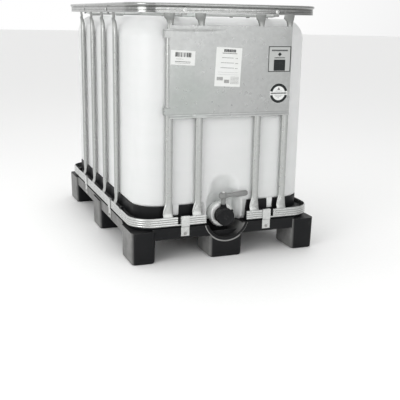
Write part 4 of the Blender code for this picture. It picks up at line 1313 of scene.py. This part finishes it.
def build_label_plate():
    """Galvanised sheet with hooked corners round the left bar and a folded right edge."""
    left, right, bottom, top = plate_limits()
    sheet = sizes().sheet
    plate = sheet_patch(left, right, bottom, top, 80, 110, 0.0, sheet)
    piece("plate_sheet", plate, "plate steel", stands_for=("label_plate",), bevel=0.0004)
    low, high = PLATE_LOW, PLATE_HIGH
    back = low.y + 0.0040 + sheet
    outer = right
    turned_to = back + 0.0028
    fold = loft([[(x, y, z) for x, y in ((outer - 0.0012, back - 0.0012), (outer, back - 0.0009),
                                         (outer, turned_to), (outer - 0.0012, turned_to))]
                 for z in (bottom + 0.022, top - 0.025)])
    piece("plate_fold", fold, "plate steel", bevel=0.0004)
    for name, z0, z1 in (("low", bottom + 0.014, bottom + 0.040),
                         ("top", top - 0.045, top - 0.014)):
        x0 = low.x + 0.0001
        profile = [(left + 0.012, back - 0.0024), (x0 + 0.003, back - 0.0024)]
        profile += arc((x0 + 0.003, back + 0.0006), 0.003, 270, 180, 5)[1:]
        profile += [(x0, high.y), (x0 + 0.0012, high.y)]
        profile += arc((x0 + 0.003, back + 0.0006), 0.0018, 180, 270, 5)
        profile += [(left + 0.012, back - 0.0012)]
        hook = loft([[(x, y, z) for x, y in profile] for z in (z0, z1)])
        piece(f"plate_hook_{name}", hook, "plate steel", bevel=0.0003)


class Sticker:
    """A label on the plate: marks are given in its own width and height directions."""

    def __init__(self, cx, cz, width, height, turn=0.0):
        self.cx, self.cz, self.width, self.height, self.turn = cx, cz, width, height, turn
        self.marks = {}

    def sheet(self, name, finish):
        bm = sheet_patch(self.cx - self.width / 2, self.cx + self.width / 2,
                         self.cz - self.height / 2, self.cz + self.height / 2,
                         14, 14, PAPER_LIFT, PAPER_THICKNESS, self.turn)
        piece(name, bm, finish)

    def at(self, u, v):
        """A place on the label as the plate's own x and z."""
        ca, sa = math.cos(self.turn), math.sin(self.turn)
        return self.cx + u * ca - v * sa, self.cz + u * sa + v * ca

    def slab(self, bm, points, lift, thickness):
        """A thin flat shape from its outline."""
        front, rear = [], []
        for rim, level in ((front, lift), (rear, lift - thickness)):
            for u, v in points:
                x, z = self.at(u, v)
                rim.append(bm.verts.new((x, plate_front(x, z) - level, z)))
        bm.faces.new(front)
        bm.faces.new(rear[::-1])
        for i in range(len(points)):
            k = (i + 1) % len(points)
            bm.faces.new((front[k], front[i], rear[i], rear[k]))

    def outline(self, ink, points):
        """One flat mark from its outline, with a hair of thickness."""
        self.slab(self.marks.setdefault(ink, bmesh.new()), points, INK_LIFT, INK_THICKNESS)

    def bar(self, ink, u, v, width, height):
        """A straight mark, divided finely enough to follow the plate's waves."""
        x, z = self.at(u, v)
        sheet_patch(x - width / 2, x + width / 2, z - height / 2, z + height / 2,
                    1 + int(width / 0.006), 1 + int(height / 0.006), INK_LIFT, INK_THICKNESS,
                    self.turn, self.marks.setdefault(ink, bmesh.new()))

    def words(self, ink, u, v, width, height, seed):
        """A line of print as a row of short blocks of uneven length."""
        place = u - width / 2
        count = 0
        while place < u + width / 2 - 0.002:
            step = 0.0030 + 0.0026 * abs(math.sin(seed * 7.3 + count * 2.1))
            step = min(step, u + width / 2 - place)
            self.bar(ink, place + step / 2, v, step * 0.78, height)
            place += step + 0.0004
            count += 1

    def finish(self, name):
        for ink, bm in self.marks.items():
            bmesh.ops.recalc_face_normals(bm, faces=bm.faces)
            suffix = ink.replace(" ", "_")
            piece(f"{name}_{suffix}", bm, ink)


def build_barcode_label():
    label = Sticker(-0.1925, 0.7985, 0.097, 0.054, math.radians(-3.0))
    label.sheet("barcode_label", "label paper")
    place = -0.031
    for i in range(20):
        width = 0.0009 + 0.0026 * abs(math.sin(i * 1.7 + 0.4)) ** 2
        label.bar("print ink", place + width / 2, 0.0115, width, 0.0165)
        place += width + 0.0009 + 0.0032 * abs(math.sin(i * 2.9)) ** 3
        if place > 0.031:
            break
    label.words("faint ink", -0.012, -0.0050, 0.030, 0.0014, 1)
    label.words("print ink", 0.0, -0.0145, 0.062, 0.0022, 2)
    label.words("faint ink", 0.0, -0.0200, 0.060, 0.0012, 3)
    label.finish("barcode_label")


def build_information_label():
    label = Sticker(-0.0065, 0.7625, 0.1075, 0.148, math.radians(-2.7))
    label.sheet("information_label", "label paper")
    label.words("print ink", 0.004, 0.0620, 0.052, 0.0105, 4)
    label.words("faint ink", 0.003, 0.0520, 0.062, 0.0032, 5)
    for row, (v, width) in enumerate(((0.035, 0.050), (0.016, 0.056), (-0.003, 0.058))):
        label.words("faint ink", -0.004, v, width, 0.0022, 6 + row)
        label.words("faint ink", 0.034, v - 0.001, 0.012, 0.0022, 9 + row)
    label.bar("faint ink", 0.0, -0.0200, 0.086, 0.0005)
    label.bar("faint ink", 0.002, -0.0285, 0.088, 0.0004)
    for i in range(6):
        label.bar("faint ink", -0.0435 + i * 0.0042, -0.0450, 0.0026, 0.0125)
        label.bar("faint ink", -0.0125 + i * 0.0036, -0.0545, 0.0022, 0.0130)
    for row in range(6):
        label.words("faint ink", 0.030, -0.0370 - row * 0.0050, 0.036, 0.0016, 12 + row)
    label.finish("information_label")


def build_stacking_label():
    label = Sticker(0.2130, 0.7920, 0.100, 0.100)
    label.sheet("stacking_label", "label film")
    w, h, line = 0.0955, 0.0960, 0.0028
    label.bar("print ink", 0.0, h / 2, w + line, line)
    label.bar("print ink", 0.0, -h / 2, w + line, line)
    label.bar("print ink", -w / 2, 0.0, line, h)
    label.bar("print ink", w / 2, 0.0, line * 1.4, h)
    label.words("print ink", 0.0, 0.0335, 0.070, 0.0058, 20)
    label.outline("print ink", [(0.0, 0.0265), (-0.0085, 0.0185), (0.0, 0.0105),
                                (0.0085, 0.0185)])
    label.words("print ink", 0.0, 0.0050, 0.046, 0.0034, 21)
    label.bar("print ink", 0.0, -0.0235, 0.050, 0.0430)
    label.finish("stacking_label")


def build_round_seal():
    """Round sticker: a broken dark ring, a small arrow and one line of print."""
    radius = 0.0400
    label = Sticker(0.2150, 0.6580, 2 * radius, 2 * radius)
    rim = [(radius * math.cos(a), radius * math.sin(a))
           for a in (2 * math.pi * i / 64 for i in range(64))]
    bm = bmesh.new()
    label.slab(bm, rim, PAPER_LIFT, PAPER_THICKNESS)
    bmesh.ops.recalc_face_normals(bm, faces=bm.faces)
    piece("round_seal", bm, "label paper")
    for start in (13, 193):
        ring = arc((0.0, 0.0), radius - 0.0010, start, start + 154, 30)
        ring += arc((0.0, 0.0), radius - 0.0120, start + 154, start, 30)
        label.outline("print ink", ring)
    for start, end in ((-11, 11), (169, 191)):
        ring = arc((0.0, 0.0), radius - 0.0010, start, end, 6)
        ring += arc((0.0, 0.0), radius - 0.0018, end, start, 6)
        label.outline("print ink", ring)
    label.words("print ink", 0.0, 0.0, 0.070, 0.0056, 30)
    label.outline("faint ink", [(0.0, 0.0240), (-0.0065, 0.0130), (0.0065, 0.0130)])
    for v, width in ((0.0085, 0.030), (-0.0085, 0.036), (-0.0130, 0.026), (-0.0180, 0.010)):
        label.words("faint ink", 0.0, v, width, 0.0016, 31)
    label.finish("round_seal")


# ---- valve ----
STEM_BORE = 0.0053


def valve_centre():
    return (0.0, middle("valve_gasket").z)


def build_union_nut():
    """Bright ring with shallow grips, chamfers and an inward lip."""
    low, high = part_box("union_nut")
    outer = high.x
    back, front = high.y, low.y
    profile = [(back, 0.0406), (back, outer - 0.0022), (back - 0.0015, outer - 0.0006),
               (back - 0.0030, outer), (back - 0.0080, outer), (back - 0.0090, outer - 0.0010),
               (back - 0.0100, outer), (front + 0.0090, outer), (front + 0.0075, outer - 0.0010),
               (front + 0.0055, outer - 0.0022), (front + 0.0025, outer - 0.0035),
               (front + 0.0006, outer - 0.0060), (front, outer - 0.0090), (front, 0.0346),
               (front + 0.0006, 0.0340), (front + 0.004, 0.0340), (front + 0.004, 0.0406)]
    nut = turned(profile, "Y", valve_centre(), 120, 30, 0.0011, ring=True)
    piece("nut_ring", nut, "nut metal", stands_for=("union_nut",))


def build_valve_body():
    """Body: flange, barrel with mould ribs, spigot and the stem's boss."""
    low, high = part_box("valve_body")
    centre = valve_centre()
    cap_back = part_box("outlet_cap")[1].y
    flange, end = high.y, low.y
    profile = [(flange, 0.0400), (flange - 0.0055, 0.0400), (flange - 0.006, 0.0395),
               (flange - 0.006, 0.0332), (flange - 0.012, 0.0322), (cap_back + 0.010, 0.0322),
               (cap_back + 0.003, 0.0330), (cap_back + 0.0008, 0.0330), (cap_back + 0.0006, 0.029),
               (end + 0.001, 0.029), (end, 0.028)]
    barrel = turned(profile, "Y", centre, 72)
    stem = middle("valve_stem")
    boss = turned([(centre[1] + 0.02, 0.0125), (0.200, 0.0122), (0.204, 0.0120),
                   (0.2085, 0.0120), (0.2095, 0.0110)], "Z", (stem.x, stem.y), 40)
    collar = turned([(0.193, 0.0150), (0.196, 0.0152), (0.1985, 0.0150)], "Z",
                    (stem.x, stem.y), 40)
    ribs = []
    for angle in (-62, -31, 31, 62, 118, 149, 211, 242):
        spin = Matrix.Rotation(math.radians(angle), 4, "Y")
        rib = block((-0.0012, 0.0012), (cap_back + 0.002, flange - 0.005), (0.026, 0.0352))
        bmesh.ops.transform(rib, matrix=Matrix.Translation((0, 0, centre[1])) @ spin,
                            verts=rib.verts)
        ribs.append(rib)
    cuts = [turned([(flange + 0.01, 0.024), (end - 0.01, 0.024)], "Y", centre, 64),
            turned([(centre[1], STEM_BORE), (0.25, STEM_BORE)], "Z", (stem.x, stem.y), 24)]
    body = carve(barrel, [boss, collar] + ribs, cuts)
    piece("valve_housing", body, "black plastic", stands_for=("valve_body",), bevel=0.0005)


def build_outlet_cap():
    """Dust cap with grip ribs, a rounded edge, a raised rim and a pull tab."""
    low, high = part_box("outlet_cap")
    centre = valve_centre()
    back, face = high.y, low.y
    outer = 0.0368
    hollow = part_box("cap_gasket")[0].y - 0.0003
    profile = [(back, outer - 0.0016), (back - 0.0012, outer - 0.0002), (back - 0.003, outer),
               (face + 0.0040, outer), (face + 0.0022, outer - 0.0004),
               (face + 0.0008, outer - 0.0022), (face + 0.0001, outer - 0.0045),
               (face, outer - 0.0062), (face + 0.0012, outer - 0.0080),
               (face + 0.0012, 0.0080), (face + 0.0004, 0.0070), (face + 0.0004, 0.0012)]
    cap = turned(profile, "Y", centre, 144, 36, 0.0016)
    tab = turned([(back - 0.0045, 0.0058), (back - 0.0015, 0.0058)], "Y",
                 (0.0300, centre[1] + 0.0222), 24)
    bar = block((-0.0135, 0.0135), (face + 0.0001, face + 0.003), (centre[1] - 0.0028,
                                                                  centre[1] + 0.0028))
    spin = Matrix.Translation((0, 0, centre[1])) @ Matrix.Rotation(math.radians(24), 4, "Y")
    bmesh.ops.transform(bar, matrix=spin @ Matrix.Translation((0, 0, -centre[1])),
                        verts=bar.verts)
    cuts = [turned([(back + 0.01, 0.0293), (hollow, 0.0293)], "Y", centre, 64)]
    piece("dust_cap", carve(cap, [tab, bar], cuts), "black plastic", body="outlet_cap",
          stands_for=("outlet_cap",), bevel=0.0004)


def build_lever():
    """Lever: skirted hub, cranked neck and a flat grip with a hollowed face, and its screw."""
    stem = middle("valve_stem")
    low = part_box("lever_handle")[0]
    hub = turned([(low.z, 0.0098), (low.z + 0.0015, 0.0105), (0.222, 0.0094), (0.231, 0.0088),
                  (0.2355, 0.0110), (0.2385, 0.0134), (0.2545, 0.0135), (0.2570, 0.0126),
                  (0.258, 0.0105)], "Z", (stem.x, stem.y), 48)
    line = ((-0.0198, 0.0, 0.2430, 0.0120, 0.0100), (-0.0185, 0.0, 0.2432, 0.0170, 0.0150),
            (-0.0150, 0.0, 0.2435, 0.0205, 0.0190), (0.0, 0.0, 0.2446, 0.0212, 0.0204),
            (0.0120, -0.0004, 0.2455, 0.0205, 0.0196), (0.0230, -0.0024, 0.2472, 0.0160, 0.0172),
            (0.0340, -0.0055, 0.2486, 0.0158, 0.0160), (0.0450, -0.0100, 0.2496, 0.0190, 0.0164),
            (0.0540, -0.0128, 0.2503, 0.0212, 0.0170), (0.0700, -0.0137, 0.2519, 0.0218, 0.0172),
            (0.0870, -0.0142, 0.2534, 0.0218, 0.0172), (0.0945, -0.0145, 0.2541, 0.0200, 0.0165),
            (0.0985, -0.0145, 0.2545, 0.0150, 0.0130), (0.0999, -0.0145, 0.2547, 0.0080, 0.0070))
    stations = [(Vector((x, stem.y + y, z)), (1, 0, 0), tall, wide)
                for x, y, z, tall, wide in line]
    grip = sweep(stations, (0, 0, 1), 36, 3.6)
    cuts = [turned([(0.20, STEM_BORE), (0.2458, STEM_BORE)], "Z", (stem.x, stem.y), 24)]
    dish = []
    for x, w in ((0.050, 0.0035), (0.058, 0.0055), (0.082, 0.0055), (0.090, 0.0035)):
        y = stem.y - 0.0143 - 0.0086
        z = 0.2503 + (x - 0.054) * 0.092
        dish.append([(x, y - 0.003, z - w), (x, y + 0.0011, z - w), (x, y + 0.0011, z + w),
                     (x, y - 0.003, z + w)])
    cuts.append(loft(dish))
    handle = carve(hub, [grip], cuts)
    piece("lever_grip", handle, "grey plastic", body="lever", stands_for=("lever_handle",),
          bevel=0.0007, crease=45)
    screw = turned([(0.2575, 0.0058), (0.2600, 0.0056), (0.2612, 0.0044), (0.2616, 0.0012)],
                   "Z", (stem.x, stem.y), 32)
    slot = block((-0.0050, 0.0050), (stem.y - 0.0006, stem.y + 0.0006), (0.2604, 0.2630))
    piece("lever_screw", carve(screw, cuts=[slot]), "nut metal", body="lever", bevel=0.0002)


def build_valve():
    build_union_nut()
    build_valve_body()
    build_outlet_cap()
    for node, finish in (("valve_gasket", "rubber"), ("cap_gasket", "rubber"),
                         ("lid_gasket", "rubber"), ("valve_disc", "grey plastic"),
                         ("valve_stem", "nut metal")):
        finish_frame_node(node, finish)


def finish_frame_node(node, finish):
    """Give a frame node that stays in view its finish."""
    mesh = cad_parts[node].data
    mesh.materials.clear()
    mesh.materials.append(material(finish))
    mesh.shade_smooth()
    mesh.set_sharp_from_angle(angle=math.radians(35))


# ---- fill opening ----
def build_fill_lid():
    """Screw lid with grip ribs, a rolled edge and spokes, and its vent plug."""
    low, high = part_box("fill_lid")
    outer = high.x
    under = GASKET_HIGH.z + 0.0003
    bore = GASKET_HIGH.x + 0.0013
    top = high.z
    profile = [(low.z, outer - 0.0045), (low.z + 0.0015, outer - 0.0012),
               (low.z + 0.003, outer - 0.0006), (top - 0.0075, outer - 0.0006),
               (top - 0.0045, outer - 0.0016), (top - 0.0020, outer - 0.0042),
               (top - 0.0006, outer - 0.0080), (top, outer - 0.0120), (top, outer - 0.0180),
               (top - 0.0022, outer - 0.0210), (top - 0.0022, 0.0260), (top, 0.0230),
               (top, 0.0080)]
    lid = turned(profile, "Z", (0.0, 0.0), 192, 48, 0.0030)
    spokes = []
    for i in range(6):
        spoke = block((0.020, outer - 0.016), (-0.0018, 0.0018), (top - 0.004, top - 0.0004))
        bmesh.ops.rotate(spoke, verts=spoke.verts, cent=(0, 0, 0),
                         matrix=Matrix.Rotation(math.radians(60 * i), 3, "Z"))
        spokes.append(spoke)
    cuts = [turned([(low.z - 0.01, bore), (under, bore)], "Z", (0, 0), 72),
            turned([(under - 0.01, 0.0128), (top + 0.01, 0.0128)], "Z", (0, 0), 36)]
    piece("screw_lid", carve(lid, spokes, cuts), "bottle plastic", body="fill_lid",
          stands_for=("fill_lid",), bevel=0.0006)
    vent_low, vent_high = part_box("vent_plug")
    face = vent_high.z
    plug = turned([(vent_low.z, 0.0115), (vent_low.z + 0.001, 0.0125), (top + 0.0003, 0.0125),
                   (top + 0.0003, 0.0184), (top + 0.0012, 0.0190), (face - 0.0022, 0.0190),
                   (face - 0.0008, 0.0178), (face, 0.0155), (face, 0.0090),
                   (face - 0.0016, 0.0080), (face - 0.0016, 0.0010)], "Z", (0, 0), 96, 24, 0.0012)
    bar = block((-0.0085, 0.0085), (-0.0016, 0.0016), (face - 0.003, face - 0.0002))
    piece("vent_cap", carve(plug, [bar]), "grey plastic", body="fill_lid",
          stands_for=("vent_plug",), bevel=0.0003)


# ---- stage ----
def build_stage():
    """Pale floor, soft lights and the camera."""
    view = bpy.context.scene.container_view
    floor_mesh = bpy.data.meshes.new("floor")
    bm = bmesh.new()
    bmesh.ops.create_circle(bm, cap_ends=True, radius=40.0, segments=96)
    bm.to_mesh(floor_mesh)
    bm.free()
    floor_mesh.materials.append(material("studio floor"))
    floor = add_object("floor", floor_mesh)
    floor.location.z = CAD_BOX[0][2] - 0.0005

    world = bpy.data.worlds.new("studio")
    world.use_nodes = True
    graph = Graph(world.node_tree)
    heading = graph.add("ShaderNodeTexCoord").outputs["Generated"]
    bright = Vector((-0.62, 0.70, 0.35)).normalized()
    slope = graph.vector("DOT_PRODUCT", heading, bright)["Value"]
    tone = graph.mix(graph.remap(slope, -0.70, 0.35), (0.38, 0.381, 0.383, 1.0),
                     (1.0, 1.0, 1.0, 1.0))
    background = world.node_tree.nodes["Background"]
    graph.feed(background.inputs["Color"], tone)
    background.inputs["Strength"].default_value = view.sky
    bpy.context.scene.world = world
    bpy.context.scene.view_settings.view_transform = "Standard"

    aim = Vector((0.0, 0.0, 0.45))
    for name, place, size, power in (("key", (-3.2, -2.4, 1.5), 2.2, view.key),
                                     ("fill", (0.7, -4.1, 1.5), 2.6, view.fill),
                                     ("top", (0.2, 0.6, 3.8), 2.8, view.fill * 0.6)):
        lamp = bpy.data.lights.new(name, "AREA")
        lamp.shape = "DISK"
        lamp.size = size
        lamp.energy = power
        light = add_object(name, lamp)
        light.location = place
        light.rotation_euler = (aim - Vector(place)).to_track_quat("-Z", "Y").to_euler()

    lens = bpy.data.cameras.new("view")
    lens.lens = view.lens
    lens.sensor_width = 36.0
    lens.clip_end = 200.0
    camera = add_object("view", lens)
    camera.matrix_world = (Matrix.Translation(Vector(view.place))
                           @ Matrix.Rotation(view.turn, 4, "Z")
                           @ Matrix.Rotation(math.radians(90) - view.dip, 4, "X")
                           @ Matrix.Rotation(view.roll, 4, "Z"))
    bpy.context.scene.camera = camera


# ---- operators ----
class Step:
    """A building step that runs its builders in order"""
    builders = ()

    def execute(self, context):
        for build in self.builders:
            build()
        return {"FINISHED"}


class CONTAINER_OT_pallet(Step, bpy.types.Operator):
    """Mould the pallet with its feet, ribs and valve scoop"""
    bl_idname = "container.pallet"
    bl_label = "Pallet"
    builders = (build_pallet,)


class CONTAINER_OT_tray(Step, bpy.types.Operator):
    """Mould the tray that the bottle stands in"""
    bl_idname = "container.tray"
    bl_label = "Tray"
    builders = (build_tray,)


class CONTAINER_OT_bottle(Step, bpy.types.Operator):
    """Blow the bottle with its niche, legs and outlet neck"""
    bl_idname = "container.bottle"
    bl_label = "Bottle"
    builders = (build_bottle,)


class CONTAINER_OT_rails(Step, bpy.types.Operator):
    """Roll and bend the bottom and top rails"""
    bl_idname = "container.rails"
    bl_label = "Rails"
    builders = (build_bottom_rail, build_top_rail)


class CONTAINER_OT_bars(Step, bpy.types.Operator):
    """Press and set the sixteen upright bars"""
    bl_idname = "container.bars"
    bl_label = "Upright bars"
    builders = (build_bars,)


class CONTAINER_OT_hold_downs(Step, bpy.types.Operator):
    """Bend the hold-down bars over the bottle and rivet their ends"""
    bl_idname = "container.hold_downs"
    bl_label = "Hold-down bars"
    builders = (build_hold_downs,)


class CONTAINER_OT_clamps(Step, bpy.types.Operator):
    """Hook the straps over the bottom rail and screw them to the pallet"""
    bl_idname = "container.clamps"
    bl_label = "Clamps"
    builders = (build_clamps,)


class CONTAINER_OT_label_plate(Step, bpy.types.Operator):
    """Fold the label plate and hook it to the bars"""
    bl_idname = "container.label_plate"
    bl_label = "Label plate"
    builders = (build_label_plate,)


class CONTAINER_OT_labels(Step, bpy.types.Operator):
    """Stick the plain labels on the plate"""
    bl_idname = "container.labels"
    bl_label = "Labels"
    builders = (build_barcode_label, build_information_label,
                build_stacking_label, build_round_seal)


class CONTAINER_OT_valve(Step, bpy.types.Operator):
    """Assemble the outlet valve, its nut and its dust cap"""
    bl_idname = "container.valve"
    bl_label = "Valve"
    builders = (build_valve,)


class CONTAINER_OT_lever(Step, bpy.types.Operator):
    """Mould the lever and screw it to the stem"""
    bl_idname = "container.lever"
    bl_label = "Lever"
    builders = (build_lever,)


class CONTAINER_OT_lid(Step, bpy.types.Operator):
    """Mould the screw lid and its vent plug"""
    bl_idname = "container.lid"
    bl_label = "Lid"
    builders = (build_fill_lid,)


class CONTAINER_OT_stage(Step, bpy.types.Operator):
    """Lay the floor, hang the lights and place the camera"""
    bl_idname = "container.stage"
    bl_label = "Stage"
    builders = (build_stage,)


STEPS = (CONTAINER_OT_stage, CONTAINER_OT_pallet, CONTAINER_OT_tray, CONTAINER_OT_bottle,
         CONTAINER_OT_rails, CONTAINER_OT_bars, CONTAINER_OT_hold_downs, CONTAINER_OT_clamps,
         CONTAINER_OT_label_plate, CONTAINER_OT_labels, CONTAINER_OT_valve, CONTAINER_OT_lever,
         CONTAINER_OT_lid)


class CONTAINER_PT_panel(bpy.types.Panel):
    """Sizes, colours and building steps of the container"""
    bl_label = "Bulk container"
    bl_space_type = "VIEW_3D"
    bl_region_type = "UI"
    bl_category = "Container"

    def draw(self, context):
        layout = self.layout
        for group in (context.scene.container_sizes, context.scene.container_colours,
                      context.scene.container_view):
            box = layout.box()
            for key in group.__annotations__:
                box.prop(group, key)
        for step in STEPS:
            layout.operator(step.bl_idname)


GROUPS = (("container_sizes", ContainerSizes), ("container_colours", ContainerColours),
          ("container_view", ContainerView))


def register():
    for name, group in GROUPS:
        bpy.utils.register_class(group)
        setattr(bpy.types.Scene, name, bpy.props.PointerProperty(type=group))
    for step in STEPS:
        bpy.utils.register_class(step)
    bpy.utils.register_class(CONTAINER_PT_panel)


def unregister():
    bpy.utils.unregister_class(CONTAINER_PT_panel)
    for step in reversed(STEPS):
        bpy.utils.unregister_class(step)
    for name, group in reversed(GROUPS):
        delattr(bpy.types.Scene, name)
        bpy.utils.unregister_class(group)


def main():
    register()
    for step in STEPS:
        group, name = step.bl_idname.split(".")
        getattr(getattr(bpy.ops, group), name)()


if __name__ == "__main__":
    main()
